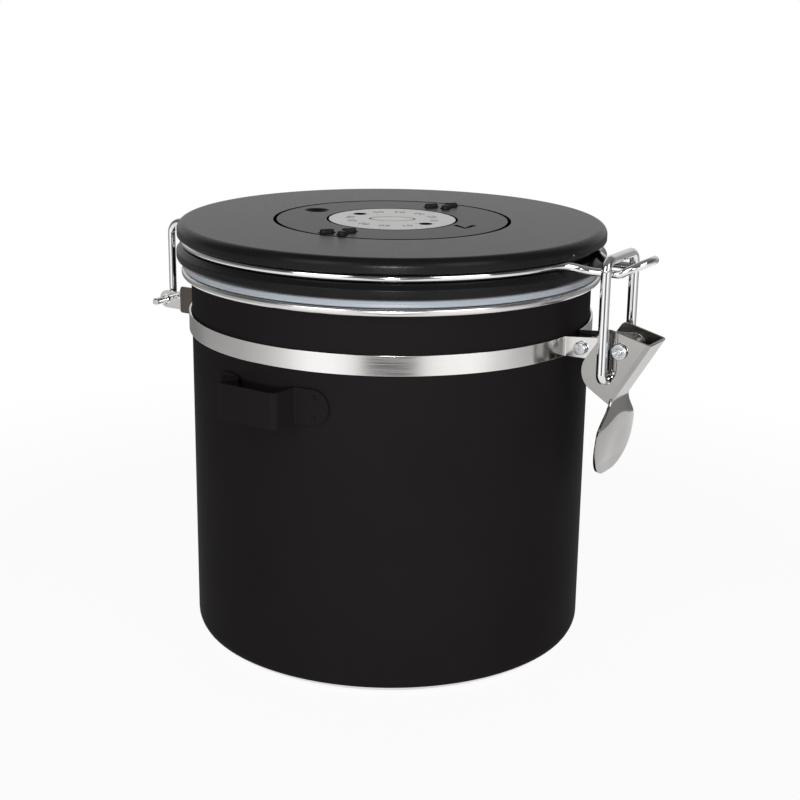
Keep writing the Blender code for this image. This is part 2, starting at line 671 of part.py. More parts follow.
def make_lid_wire(parts):
    """One wire: two rear pins and legs, two arcs in the lid's groove and the front tongue."""
    half = LEG_SPACING / 2
    pin_end = BRACKET_EAR_CENTRE + BRACKET_SHEET / 2 + PIN_END_LENGTH
    foot = Vector((half, HINGE_OUT, HINGE_HEIGHT))
    head = Vector((half, HINGE_OUT, WIRE_HEIGHT))
    inner = Vector((half, HINGE_OUT - LEG_RUN, WIRE_HEIGHT))
    side = [Vector((pin_end, HINGE_OUT, HINGE_HEIGHT))]
    side += bend(foot, side[0], head, LEG_LOWER_BEND)
    side += bend(head, foot, inner, LEG_UPPER_BEND)
    start_angle = math.pi - LEG_JOIN_ANGLE
    steps = round((start_angle - TONGUE_JOIN_ANGLE) / RING_ARC_STEP)
    ring = [Vector((across, along, WIRE_HEIGHT))
            for across, along in arc_plan(WIRE_RING_RADIUS, start_angle, TONGUE_JOIN_ANGLE, steps)]
    leave = Vector((-math.cos(start_angle), -math.sin(start_angle), 0))
    side += blend(inner, Vector((0, -1, 0)), ring[0], leave)
    side += ring[1:-1]
    arrive = Vector((-math.cos(TONGUE_JOIN_ANGLE), -math.sin(TONGUE_JOIN_ANGLE), 0))
    root_half = TONGUE_HALF_WIDTH + TONGUE_ROOT_FLARE
    root = Vector((root_half, -WIRE_RING_RADIUS - TONGUE_ROOT_RUN, WIRE_HEIGHT))
    tip_centre = WIRE_RING_RADIUS + TONGUE_TIP_RUN - TONGUE_HALF_WIDTH
    straight = (Vector((TONGUE_HALF_WIDTH, -tip_centre, WIRE_HEIGHT)) - root).normalized()
    tongue = blend(ring[-1], arrive, root, straight)
    tongue.append(Vector((TONGUE_HALF_WIDTH, -tip_centre, 0)))
    for index in range(1, BEND_POINTS + 1):
        angle = math.pi / 2 * index / BEND_POINTS
        tongue.append(Vector((TONGUE_HALF_WIDTH * math.cos(angle),
                              -tip_centre - TONGUE_HALF_WIDTH * math.sin(angle), 0)))
    for point in tongue:
        point.z = tongue_height(-point.y)
    side += tongue
    other = [Vector((-point.x, point.y, point.z)) for point in reversed(side[:-1])]
    return wire("lid_wire", side + other, WIRE_RADIUS, parts, "chrome_wire")


def make_bracket(parts, tools):
    """Hinge bracket: a strap welded to the band, with two ears that hold the wire's pins."""
    radius = BODY_RADIUS + 2 * FIT_GAP + BAND_THICKNESS + BRACKET_SHEET / 2
    half_angle = math.asin(BRACKET_EAR_CENTRE / radius)
    low = BAND_CENTRE_HEIGHT - BRACKET_HEIGHT / 2
    high = BAND_CENTRE_HEIGHT + BRACKET_HEIGHT / 2
    path = arc_plan(radius, math.pi - half_angle, math.pi + half_angle, ARC_POINTS * 3)
    bracket = bent_strip("hinge_bracket", path, low, high, BRACKET_SHEET, parts, "polished_steel")
    root = radius * math.cos(half_angle)
    corner = EDGE_ROUND
    shoulder = BRACKET_ROOT_ROUND
    foot = low + WEB_PROUD
    top = high - WEB_PROUD
    wide = rounded_hull([
        (root + corner, foot + corner, corner),
        (root + corner, top - corner, corner),
        (BRACKET_ROOT_OUT - shoulder, foot + shoulder, shoulder),
        (BRACKET_ROOT_OUT - shoulder, top - shoulder, shoulder),
    ])
    slim = rounded_hull([
        (root + BRACKET_EAR_RADIUS + corner, HINGE_HEIGHT, BRACKET_EAR_RADIUS),
        (HINGE_OUT, HINGE_HEIGHT, BRACKET_EAR_RADIUS),
    ])
    for side, label in ((-1, "left"), (1, "right")):
        place = Matrix.Translation((side * BRACKET_EAR_CENTRE, 0, 0)) @ HINGE_PLANE
        join(bracket, tool_plate("bracket_root_" + label, wide, BRACKET_SHEET, place, tools))
        join(bracket, tool_plate("bracket_ear_" + label, slim, BRACKET_SHEET + 2 * WEB_PROUD, place, tools))
    length = 2 * BRACKET_EAR_CENTRE + BRACKET_SHEET + 2 * OVERRUN
    cut(bracket, cylinder("bracket_pin_hole", WIRE_RADIUS + FIT_GAP, length,
                          about_x(0, HINGE_OUT, HINGE_HEIGHT, 1), TINY_STEPS, tools))
    return bracket


def make_scoop_holder(parts):
    """Strip bent to a square loop, with flanges that hug the body."""
    radius = BODY_RADIUS + FIT_GAP + HOLDER_SHEET / 2
    half = (HOLDER_WIDTH - HOLDER_SHEET) / 2
    root_angle = math.asin(half / radius)
    end_angle = root_angle + HOLDER_FLANGE_LENGTH / radius
    front = HOLDER_FRONT_OUT - HOLDER_SHEET / 2
    centre = front - HOLDER_CORNER
    side = arc_plan(radius, end_angle, root_angle, ARC_POINTS)
    for index in range(ARC_POINTS + 1):
        angle = math.pi / 2 * index / ARC_POINTS
        side.append((half - HOLDER_CORNER + HOLDER_CORNER * math.cos(angle),
                     -centre - HOLDER_CORNER * math.sin(angle)))
    path = side + [(-across, along) for across, along in reversed(side)]
    low = HOLDER_CENTRE_HEIGHT - HOLDER_HEIGHT / 2
    high = HOLDER_CENTRE_HEIGHT + HOLDER_HEIGHT / 2
    holder = bent_strip("scoop_holder", path, low, high, HOLDER_SHEET, parts, "painted_black")
    holder.rotation_euler.z = HOLDER_ANGLE
    return holder


def lid_screw_places():
    """Plan places of the lid's screws."""
    places = []
    for index in range(LID_SCREW_COUNT):
        angle = LID_SCREW_FIRST_ANGLE + math.tau * index / LID_SCREW_COUNT
        places.append((LID_SCREW_CIRCLE * math.sin(angle), -LID_SCREW_CIRCLE * math.cos(angle)))
    return places


def make_lid_base(parts, tools):
    """Moulded base of the lid: flange above the rim, and a plug that reaches into the neck."""
    inner = PLUG_RADIUS - PLUG_WALL
    profile = [(FLANGE_TOP_RADIUS, FLANGE_TOP), (FLANGE_RADIUS, FLANGE_TOP - FLANGE_CHAMFER)]
    profile += arc(FLANGE_RADIUS - FLANGE_FOOT_ROUND, FLANGE_FOOT + FLANGE_FOOT_ROUND, FLANGE_FOOT_ROUND, 0, -90)
    profile += [(PLUG_RADIUS, FLANGE_FOOT)]
    profile += arc(PLUG_RADIUS - PLUG_ROUND, PLUG_FOOT + PLUG_ROUND, PLUG_ROUND, 0, -90, 2)
    profile += [(VALVE_HOLE_RADIUS, PLUG_FOOT), (VALVE_HOLE_RADIUS, PLUG_FLOOR_TOP),
                (inner, PLUG_FLOOR_TOP), (inner, FLANGE_TOP)]
    base = turned("lid_base", profile, LARGE_STEPS, parts, "black_plastic")
    for index, (across, along) in enumerate(lid_screw_places()):
        place = Matrix.Translation((across, along, PLUG_FOOT))
        cut(base, cylinder(f"base_screw_hole_{index}", LID_SCREW_RADIUS + FIT_GAP, PLUG_DEPTH,
                           place, TINY_STEPS, tools))
    return base


def make_gasket(parts):
    """Silicone ring with a lip that hangs round the plug."""
    foot = SEAT_HEIGHT
    top = foot + GASKET_THICKNESS
    bore = PLUG_RADIUS + FIT_GAP
    profile = arc(GASKET_RADIUS - GASKET_ROUND, top - GASKET_ROUND, GASKET_ROUND, 90, 0, 2)
    profile += arc(GASKET_RADIUS - GASKET_ROUND, foot + GASKET_ROUND, GASKET_ROUND, 0, -90, 2)
    profile += [(bore + GASKET_LIP_WIDTH, foot), (bore + GASKET_LIP_WIDTH, foot - GASKET_LIP_DEPTH),
                (bore, foot - GASKET_LIP_DEPTH), (bore, top)]
    return turned("lid_gasket", profile, LARGE_STEPS, parts, "clear_silicone")


def make_cover(parts, tools):
    """Moulded top of the lid, with the well for the date dial and the screw bosses."""
    skirt_inner = GROOVE_RADIUS - COVER_SKIRT_WALL
    ceiling = LID_TOP - COVER_PLATE
    skirt_foot = FLANGE_TOP + FIT_GAP
    drag_inner = DRAG_RING_RADIUS - DRAG_RING_WIDTH / 2 - FIT_GAP
    drag_outer = DRAG_RING_RADIUS + DRAG_RING_WIDTH / 2 + FIT_GAP
    groove_floor = WELL_FLOOR_TOP - DRAG_GROOVE_DEPTH
    profile = arc(COVER_RADIUS - COVER_TOP_ROUND, LID_TOP - COVER_TOP_ROUND, COVER_TOP_ROUND, 90, 0)
    profile += [(COVER_RADIUS, COVER_FOOT), (GROOVE_RADIUS, COVER_FOOT), (GROOVE_RADIUS, skirt_foot),
                (skirt_inner, skirt_foot), (skirt_inner, ceiling), (WELL_RADIUS + WELL_WALL, ceiling),
                (WELL_RADIUS + WELL_WALL, WELL_FLOOR_FOOT), (STEM_HOLE_RADIUS, WELL_FLOOR_FOOT),
                (STEM_HOLE_RADIUS, WELL_FLOOR_TOP), (drag_inner, WELL_FLOOR_TOP), (drag_inner, groove_floor),
                (drag_outer, groove_floor), (drag_outer, WELL_FLOOR_TOP), (WELL_RADIUS, WELL_FLOOR_TOP),
                (WELL_RADIUS, LID_TOP - EDGE_ROUND), (WELL_RADIUS + EDGE_ROUND, LID_TOP)]
    cover = turned("lid_cover", profile, LARGE_STEPS, parts, "black_plastic")
    boss_foot = PLUG_FLOOR_TOP + FIT_GAP
    boss_top = LID_TOP - COVER_PLATE / 2
    bore_top = PLUG_FOOT + LID_SCREW_LENGTH + FIT_GAP
    for index, (across, along) in enumerate(lid_screw_places()):
        middle = Matrix.Translation((across, along, (boss_foot + boss_top) / 2))
        join(cover, cylinder(f"boss_{index}", BOSS_RADIUS, boss_top - boss_foot, middle, TINY_STEPS, tools))
    for index, (across, along) in enumerate(lid_screw_places()):
        low = boss_foot - OVERRUN
        middle = Matrix.Translation((across, along, (low + bore_top) / 2))
        cut(cover, cylinder(f"boss_bore_{index}", LID_SCREW_RADIUS + FIT_GAP, bore_top - low,
                            middle, TINY_STEPS, tools))
    return cover


def make_lid_screws(parts):
    """Pan-head screws from under the plug into the cover's bosses."""
    head_top = -FIT_GAP
    head_foot = head_top - LID_SCREW_HEAD_HEIGHT
    tip = LID_SCREW_LENGTH
    profile = [(0, tip), (LID_SCREW_RADIUS, tip - LID_SCREW_RADIUS), (LID_SCREW_RADIUS, head_top),
               (LID_SCREW_HEAD_RADIUS, head_top)]
    profile += arc(LID_SCREW_HEAD_RADIUS - EDGE_ROUND, head_foot + EDGE_ROUND, EDGE_ROUND, 0, -90, 2)
    profile.append((0, head_foot))
    for index, (across, along) in enumerate(lid_screw_places()):
        screw = turned(f"lid_screw_{index + 1}", profile, TINY_STEPS, parts, "zinc_steel")
        screw.location = (across, along, PLUG_FOOT)


def make_date_ring(parts, tools):
    """Outer ring of the dial, with a finger dimple and two sets of raised grips, turned the same way."""
    foot = WELL_FLOOR_TOP + FIT_GAP
    lip_top = foot + DIAL_RING_LIP
    profile = [(DIAL_RING_RADIUS - EDGE_ROUND, LID_TOP), (DIAL_RING_RADIUS, LID_TOP - EDGE_ROUND),
               (DIAL_RING_RADIUS, foot), (DIAL_RING_LIP_BORE, foot), (DIAL_RING_LIP_BORE, lip_top),
               (DIAL_RING_BORE, lip_top), (DIAL_RING_BORE, LID_TOP - EDGE_ROUND),
               (DIAL_RING_BORE + EDGE_ROUND, LID_TOP)]
    ring = turned("date_ring", profile, LARGE_STEPS, parts, "black_plastic")
    dimple_height = DIMPLE_DEPTH + OVERRUN
    cut(ring, cylinder("dimple", DIMPLE_RADIUS, dimple_height,
                       Matrix.Translation((0, DIMPLE_CIRCLE, LID_TOP + OVERRUN - dimple_height / 2)),
                       SMALL_STEPS, tools))
    end = GRIP_WIDTH / 2
    reach = GRIP_LENGTH / 2 - end
    bar = rounded_hull([(-reach, 0, end), (reach, 0, end)], TINY_STEPS)
    height = 2 * GRIP_RISE
    for side in (-1, 1):
        middle = Matrix.Translation((side * GRIP_CIRCLE, 0, LID_TOP)) @ Matrix.Rotation(GRIP_TURN, 4, 'Z')
        for step in (-1, 1):
            place = middle @ Matrix.Translation((step * GRIP_SPACING / 2, 0, 0))
            join(ring, tool_plate(f"grip_bar_{side}_{step}", bar, height, place, tools))
        place = middle @ Matrix.Translation((0, -GRIP_NUB_DROP, 0))
        join(ring, cylinder(f"grip_nub_{side}", GRIP_NUB_RADIUS, height, place, TINY_STEPS, tools))
    return ring


def make_month_disc(parts, tools):
    """Inner disc of the dial, on a stem that passes through the well's floor."""
    foot = WELL_FLOOR_TOP + FIT_GAP + DIAL_RING_LIP + FIT_GAP
    top = foot + DISC_THICKNESS
    neck_top = WELL_FLOOR_FOOT - FIT_GAP
    neck_foot = neck_top - STEM_NECK_HEIGHT
    stem_foot = neck_foot - STEM_FOOT_HEIGHT
    profile = [(0, top), (DISC_RADIUS - EDGE_ROUND, top), (DISC_RADIUS, top - EDGE_ROUND), (DISC_RADIUS, foot),
               (STEM_RADIUS, foot), (STEM_RADIUS, neck_top), (STEM_NECK_RADIUS, neck_top),
               (STEM_NECK_RADIUS, neck_foot), (STEM_RADIUS, neck_foot), (STEM_RADIUS, stem_foot), (0, stem_foot)]
    disc = turned("month_disc", profile, MIDDLE_STEPS, parts, "silver_disc")
    length = DISC_THICKNESS + 2 * OVERRUN
    for side, label in ((-1, "front"), (1, "rear")):
        place = Matrix.Rotation(DISC_TURN, 4, 'Z') @ Matrix.Translation(
            (0, side * DISC_HOLE_CIRCLE, (foot + top) / 2))
        cut(disc, cylinder("disc_hole_" + label, DISC_HOLE_RADIUS, length, place, TINY_STEPS, tools))
    return disc


def make_dial_clip(parts):
    """Round clip under the well's floor that keeps the disc's stem."""
    top = WELL_FLOOR_FOOT - 2 * FIT_GAP
    foot = top - CLIP_THICKNESS
    bore = STEM_NECK_RADIUS + FIT_GAP
    profile = [(CLIP_RADIUS, top), (CLIP_RADIUS, foot), (bore, foot), (bore, top)]
    return turned("dial_clip", profile, SMALL_STEPS, parts, "zinc_steel")


def make_drag_ring(parts):
    """Rubber ring in the well's floor that keeps the date ring where it is set."""
    foot = WELL_FLOOR_TOP - DRAG_GROOVE_DEPTH + SEAL_GAP / 2
    top = WELL_FLOOR_TOP + FIT_GAP / 2
    outer = DRAG_RING_RADIUS + DRAG_RING_WIDTH / 2
    inner = DRAG_RING_RADIUS - DRAG_RING_WIDTH / 2
    profile = [(outer, top), (outer, foot), (inner, foot), (inner, top)]
    return turned("dial_drag_ring", profile, MIDDLE_STEPS, parts, "black_rubber")


def make_valve_seat(parts, tools):
    """Valve seat: flanged cup in the plug's floor, with vents under the membrane."""
    outer = VALVE_HOLE_RADIUS - FIT_GAP
    flange_top = PLUG_FOOT - FIT_GAP
    foot = flange_top - VALVE_FLANGE
    floor_top = flange_top + FIT_GAP
    top = floor_top + VALVE_BARREL_HEIGHT
    profile = [(outer, top), (outer, flange_top), (VALVE_FLANGE_RADIUS, flange_top), (VALVE_FLANGE_RADIUS, foot),
               (VALVE_STEM_HOLE, foot), (VALVE_STEM_HOLE, floor_top), (outer - VALVE_WALL, floor_top),
               (outer - VALVE_WALL, top)]
    seat = turned("valve_seat", profile, MIDDLE_STEPS, parts, "black_plastic")
    length = floor_top - foot + 2 * OVERRUN
    for index in range(VALVE_VENT_COUNT):
        turn = Matrix.Rotation(math.tau * index / VALVE_VENT_COUNT, 4, 'Z')
        place = turn @ Matrix.Translation((VALVE_VENT_CIRCLE, 0, (foot + floor_top) / 2))
        cut(seat, cylinder(f"seat_vent_{index}", VALVE_VENT_RADIUS, length, place, TINY_STEPS, tools))
    return seat


def make_membrane(parts):
    """Silicone umbrella that lifts to let gas out and shuts against air."""
    floor_top = PLUG_FOOT
    foot = PLUG_FOOT - FIT_GAP - VALVE_FLANGE
    low = floor_top + FIT_GAP
    top = low + MEMBRANE_THICKNESS
    bulb_top = foot - FIT_GAP
    bulb_foot = bulb_top - MEMBRANE_BULB_HEIGHT
    profile = [(0, top), (MEMBRANE_RADIUS, top), (MEMBRANE_RADIUS, low), (MEMBRANE_STEM_RADIUS, low),
               (MEMBRANE_STEM_RADIUS, bulb_top), (MEMBRANE_BULB_RADIUS, bulb_top),
               (MEMBRANE_STEM_RADIUS, bulb_foot), (0, bulb_foot)]
    return turned("valve_membrane", profile, SMALL_STEPS, parts, "clear_silicone")


def make_valve_cap(parts, tools):
    """Cap pressed on the seat's barrel above the floor, which holds the seat in its hole."""
    bore = VALVE_HOLE_RADIUS
    outer = bore + CAP_WALL
    foot = PLUG_FLOOR_TOP + FIT_GAP
    inside_top = PLUG_FOOT + VALVE_BARREL_HEIGHT + FIT_GAP
    top = inside_top + CAP_TOP
    profile = [(0, top), (outer - EDGE_ROUND, top), (outer, top - EDGE_ROUND), (outer, foot), (bore, foot),
               (bore, inside_top), (0, inside_top)]
    cap = turned("valve_cap", profile, MIDDLE_STEPS, parts, "black_plastic")
    for index in range(VALVE_VENT_COUNT):
        turn = Matrix.Rotation(math.tau * (index + 0.5) / VALVE_VENT_COUNT, 4, 'Z')
        place = turn @ Matrix.Translation((VALVE_VENT_CIRCLE, 0, (inside_top + top) / 2))
        cut(cap, cylinder(f"cap_vent_{index}", VALVE_VENT_RADIUS, CAP_TOP + 2 * OVERRUN, place, TINY_STEPS, tools))
    return cap


def main():
    """Build every piece of the canister."""
    clear_scene()
    parts = new_collection("coffee_canister")
    tools = new_collection("cutters")
    make_body(parts)
    make_band(parts, tools)
    make_clamp(parts, tools)
    make_lever(parts, tools)
    make_rivet(parts)
    make_hoop(parts)
    make_lid_wire(parts)
    make_bracket(parts, tools)
    make_scoop_holder(parts)
    make_lid_base(parts, tools)
    make_gasket(parts)
    make_cover(parts, tools)
    make_lid_screws(parts)
    make_date_ring(parts, tools)
    make_month_disc(parts, tools)
    make_dial_clip(parts)
    make_drag_ring(parts)
    make_valve_seat(parts, tools)
    make_membrane(parts)
    make_valve_cap(parts, tools)


main()
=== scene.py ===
"""Looks of a coffee canister with a hinged lid, a wire latch and a date dial. Lengths are in metres.

The latch faces -Y, the hinge +Y and the lid's top +Z. A place in the latch's or the hinge's plane is
(out, height), where out is the distance from the canister's axis.
"""
import logging
import math
from dataclasses import dataclass, field
from enum import Enum
from typing import Sequence

import bpy
from mathutils import Matrix, Vector
from mathutils.geometry import convex_hull_2d, interpolate_bezier


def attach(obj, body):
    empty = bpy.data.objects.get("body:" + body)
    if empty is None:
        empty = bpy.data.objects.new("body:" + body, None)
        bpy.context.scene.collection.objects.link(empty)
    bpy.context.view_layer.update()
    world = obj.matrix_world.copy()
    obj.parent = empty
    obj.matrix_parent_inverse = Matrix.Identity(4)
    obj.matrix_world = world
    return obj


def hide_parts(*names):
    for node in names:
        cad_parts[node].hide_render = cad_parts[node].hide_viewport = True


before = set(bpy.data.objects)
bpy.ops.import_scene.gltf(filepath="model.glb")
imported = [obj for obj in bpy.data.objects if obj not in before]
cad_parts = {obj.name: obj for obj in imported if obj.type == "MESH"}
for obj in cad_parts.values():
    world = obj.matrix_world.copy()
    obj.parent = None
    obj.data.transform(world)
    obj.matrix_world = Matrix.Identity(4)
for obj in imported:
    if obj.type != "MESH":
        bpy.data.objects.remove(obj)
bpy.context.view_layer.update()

log = logging.getLogger("canister")

MERGE_DISTANCE = 2e-6
SMOOTH_ANGLE = math.radians(32)
SEED_PLANE = 0.001
OVERRUN = 0.001
HAIR = 0.00005
FIT_GAP = 0.0003
DRILL_LENGTH = 0.006

# Rounds of edges that have no size of their own
FINE_EDGE = 0.0001
EDGE = 0.0002
SMALL_ROUND = 0.0003
ROUND = 0.0004
WIDE_ROUND = 0.0005
MOULD_ROUND = 0.0006

# Facets round a whole circle
CUP_FACETS = 192
RING_FACETS = 160
DISC_FACETS = 144
VALVE_FACETS = 96
PIN_FACETS = 48
SCREW_FACETS = 40
HOLE_FACETS = 32
NUT_SIDES = 6

# Segments of a round in a profile, of a wire's bend and of a wire's free stretch
ROUND_POINTS = 6
LARGE_ROUND_POINTS = 8
COVER_ROUND_POINTS = 10
BEND_POINTS = 12
BLEND_POINTS = 20

# Angles in degrees at which a sheet's round end has a column of points
TIP_ANGLES = (84, 72, 60, 48, 36, 24, 12, 0)
# Least square of the half height of a sheet's round end, which keeps its tip from closing up
END_SQUARE = 1e-9

# Upward part of a face's normal: at least the first on a level face, less than the second on a steep one
LEVEL_NORMAL = 0.97
STEEP_NORMAL = 0.5

Colour = tuple[float, float, float]
Corner = tuple[float, float, float]

LATCH_PLANE = Matrix(((0, 0, -1, 0), (-1, 0, 0, 0), (0, 1, 0, 0), (0, 0, 0, 1)))
ALONG_X = Matrix.Rotation(math.pi / 2, 4, 'Y')


class Body(Enum):
    """Moving bodies of the frame."""
    CANISTER = "canister"
    LID = "lid"
    DATE_RING = "date_ring"
    MONTH_DISC = "month_disc"
    LEVER = "lever"
    HOOP = "hoop"


class Slot(Enum):
    """Material slots of the record."""
    PAINT = "body_paint"
    STEEL = "polished_steel"
    CHROME = "chrome_wire"
    ZINC = "zinc_steel"
    LID = "lid_plastic"
    DIAL = "dial_plastic"
    SILVER = "silver_plastic"
    SILICONE = "silicone"
    RUBBER = "black_rubber"


class Cut(Enum):
    """What a tool body does to a piece."""
    AWAY = 'DIFFERENCE'
    ADD = 'UNION'
    COMMON = 'INTERSECT'


# Outlines and paths


def fillet(corners: Sequence[tuple[Vector, float]], closed: bool = True,
           points: int = ROUND_POINTS) -> list[Vector]:
    """Round the corners of an outline or a path.

    Args:
        corners: Each corner with the radius of its round.
        closed: Whether the last corner joins the first.
        points: Segments of each round.

    Returns:
        The points of the rounded line.
    """
    line: list[Vector] = []
    count = len(corners)
    for index, (here, radius) in enumerate(corners):
        if radius == 0 or (not closed and index in (0, count - 1)):
            line.append(here.copy())
            continue
        before = (corners[index - 1][0] - here).normalized()
        after = (corners[(index + 1) % count][0] - here).normalized()
        half = before.angle(after) / 2
        centre = here + (before + after).normalized() * (radius / math.sin(half))
        start = (here + before * (radius / math.tan(half)) - centre).normalized()
        end = (here + after * (radius / math.tan(half)) - centre).normalized()
        line += [centre + start.slerp(end, step / points) * radius for step in range(points + 1)]
    return line


def outline(corners: Sequence[Corner], closed: bool = True, points: int = ROUND_POINTS) -> list[Vector]:
    """Rounded flat outline from corners given as (across, up, radius)."""
    return fillet([(Vector((across, up)), radius) for across, up, radius in corners], closed, points)


def hull(discs: Sequence[Corner], points: int = 56) -> list[Vector]:
    """Outline drawn tight around discs.

    Args:
        discs: Each disc as (across, up, radius).
        points: Points round each disc.

    Returns:
        The points of the outline.
    """
    cloud = [Vector((across + radius * math.cos(math.tau * step / points),
                     up + radius * math.sin(math.tau * step / points)))
             for across, up, radius in discs for step in range(points)]
    return [cloud[index] for index in convex_hull_2d(cloud)]


def plan_arc(radius: float, start: float, end: float, steps: int) -> list[Vector]:
    """Plan points on a circle about the axis, with angles from -Y towards +X."""
    turns = [start + (end - start) * step / steps for step in range(steps + 1)]
    return [Vector((radius * math.sin(turn), -radius * math.cos(turn))) for turn in turns]


def about_x(sideways: float, out: float, height: float, facing: int) -> Matrix:
    """Place of a turned piece whose axis lies along X, on the latch's (-1) or the hinge's side (1)."""
    return Matrix.Translation((sideways, facing * out, height)) @ ALONG_X


def mirrored(half: Sequence[Vector]) -> list[Vector]:
    """A path that ends on the middle plane, and its mirror image across X after it."""
    return [*half, *(Vector((-point.x, *point[1:])) for point in reversed(half[:-1]))]


def bar(half_length: float, half_width: float) -> list[Vector]:
    """Outline of a rectangle about its middle."""
    return outline([(-half_length, -half_width, 0), (half_length, -half_width, 0),
                    (half_length, half_width, 0), (-half_length, half_width, 0)])


def ear_tip(plane: float, centre: float, radius: float) -> list[Vector]:
    """Plan points of a sheet ear, from its round end to the centre of that end."""
    return [Vector((plane, centre + radius * math.sin(math.radians(angle)))) for angle in TIP_ANGLES]


def end_half(radius: float, past: float) -> float:
    """Half the height of a sheet's round end at a distance past the centre of that end."""
    return math.sqrt(max(radius ** 2 - past ** 2, END_SQUARE))


def ease(share: float) -> float:
    """Smooth step from 0 to 1."""
    share = min(max(share, 0.0), 1.0)
    return share * share * (3 - 2 * share)


class Bench:
    """Modelling steps, as done by hand."""

    @staticmethod
    def rest() -> None:
        """Leave edit mode and deselect everything."""
        if bpy.context.object and bpy.context.object.mode != 'OBJECT':
            bpy.ops.object.mode_set(mode='OBJECT')
        bpy.ops.object.select_all(action='DESELECT')

    @staticmethod
    def pick(piece: bpy.types.Object) -> None:
        """Select one piece alone and make it the active one."""
        Bench.rest()
        piece.select_set(True)
        bpy.context.view_layer.objects.active = piece

    @staticmethod
    def draw(name: str, points: Sequence[Vector]) -> bpy.types.Object:
        """Draw a line by extruding one vertex from point to point.

        Args:
            name: Name of the new piece.
            points: Places that the line passes.

        Returns:
            The piece, in edit mode with all its vertices selected.
        """
        Bench.rest()
        bpy.ops.mesh.primitive_plane_add(size=SEED_PLANE)
        piece = bpy.context.object
        piece.name = piece.data.name = name
        bpy.ops.object.mode_set(mode='EDIT')
        bpy.ops.mesh.select_all(action='SELECT')
        bpy.ops.mesh.merge(type='CENTER')
        places = [point.to_3d() for point in points]
        bpy.ops.transform.translate(value=places[0])
        for here, there in zip(places, places[1:]):
            bpy.ops.mesh.extrude_region_move(TRANSFORM_OT_translate={"value": there - here})
        bpy.ops.mesh.select_all(action='SELECT')
        return piece

    @staticmethod
    def tidy() -> None:
        """Merge doubles and turn all faces outwards, then leave edit mode."""
        bpy.ops.mesh.select_all(action='SELECT')
        bpy.ops.mesh.remove_doubles(threshold=MERGE_DISTANCE)
        bpy.ops.mesh.normals_make_consistent(inside=False)
        bpy.ops.object.mode_set(mode='OBJECT')

    @staticmethod
    def turn(name: str, profile: Sequence[Vector], steps: int) -> bpy.types.Object:
        """Spin a profile about Z into a closed solid.

        Args:
            name: Name of the new piece.
            profile: Points as (out, height), closed by itself unless both ends lie on the axis.
            steps: Facets around the axis.

        Returns:
            The turned piece.
        """
        line = [Vector((point.x, 0, point.y)) for point in profile]
        if profile[0].x > 0 or profile[-1].x > 0:
            line.append(line[0])
        piece = Bench.draw(name, line)
        bpy.ops.mesh.remove_doubles(threshold=MERGE_DISTANCE)
        bpy.ops.mesh.spin(steps=steps, angle=math.tau, center=(0, 0, 0), axis=(0, 0, 1))
        Bench.tidy()
        return piece

    @staticmethod
    def plate(name: str, line: Sequence[Vector], thickness: float, place: Matrix) -> bpy.types.Object:
        """Fill an outline and extrude it to a plate centred on its own plane.

        Args:
            name: Name of the new piece.
            line: Points of the flat outline.
            thickness: Thickness of the plate.
            place: Place of the outline's plane.

        Returns:
            The plate in its place.
        """
        points = [Vector((point.x, point.y, -thickness / 2)) for point in line]
        piece = Bench.draw(name, points)
        bpy.ops.mesh.edge_face_add()
        bpy.ops.mesh.extrude_region_move(TRANSFORM_OT_translate={"value": (0, 0, thickness)})
        Bench.tidy()
        return Bench.put(piece, place)

    @staticmethod
    def rod(name: str, radius: float, length: float, place: Matrix,
            sides: int = PIN_FACETS) -> bpy.types.Object:
        """Add a cylinder along its local Z, as a tool or a blank.

        Args:
            name: Name of the new piece.
            radius: Radius of the cylinder.
            length: Length of the cylinder.
            place: Place of its middle.
            sides: Facets round it.

        Returns:
            The cylinder in its place.
        """
        Bench.rest()
        bpy.ops.mesh.primitive_cylinder_add(vertices=sides, radius=radius, depth=length)
        bpy.context.object.name = name
        return Bench.put(bpy.context.object, place)

    @staticmethod
    def put(piece: bpy.types.Object, place: Matrix) -> bpy.types.Object:
        """Move a piece to its place and write the place into its mesh.

        Args:
            piece: The piece.
            place: Its new place, on top of the one that it has.

        Returns:
            The piece.
        """
        Bench.pick(piece)
        piece.matrix_world = place @ piece.matrix_world
        bpy.ops.object.transform_apply(location=True, rotation=True, scale=True)
        return piece

    @staticmethod
    def copy(piece: bpy.types.Object, name: str, place: Matrix) -> bpy.types.Object:
        """Copy a piece with its own mesh and put the copy in its place.

        Args:
            piece: The piece to copy.
            name: Name of the copy.
            place: Place of the copy, on top of the piece's own.

        Returns:
            The copy.
        """
        Bench.pick(piece)
        bpy.ops.object.duplicate(linked=False)
        other = bpy.context.object
        other.name = other.data.name = name
        return Bench.put(other, place)

    @staticmethod
    def join(pieces: Sequence[bpy.types.Object]) -> bpy.types.Object:
        """Join pieces into the first one.

        Args:
            pieces: One or more pieces.

        Returns:
            The first piece, with the others in it.
        """
        Bench.pick(pieces[0])
        for piece in pieces[1:]:
            piece.select_set(True)
        if len(pieces) > 1:
            bpy.ops.object.join()
        return pieces[0]

    @staticmethod
    def modify(piece: bpy.types.Object, kind: str, **settings: object) -> bpy.types.Object:
        """Add a modifier with its settings and apply it.

        Args:
            piece: The piece to change.
            kind: Blender's type of the modifier.
            settings: Its settings by name.

        Returns:
            The piece.
        """
        Bench.pick(piece)
        change = piece.modifiers.new(kind.title(), kind)
        for name, value in settings.items():
            setattr(change, name, value)
        bpy.ops.object.modifier_apply(modifier=change.name)
        return piece

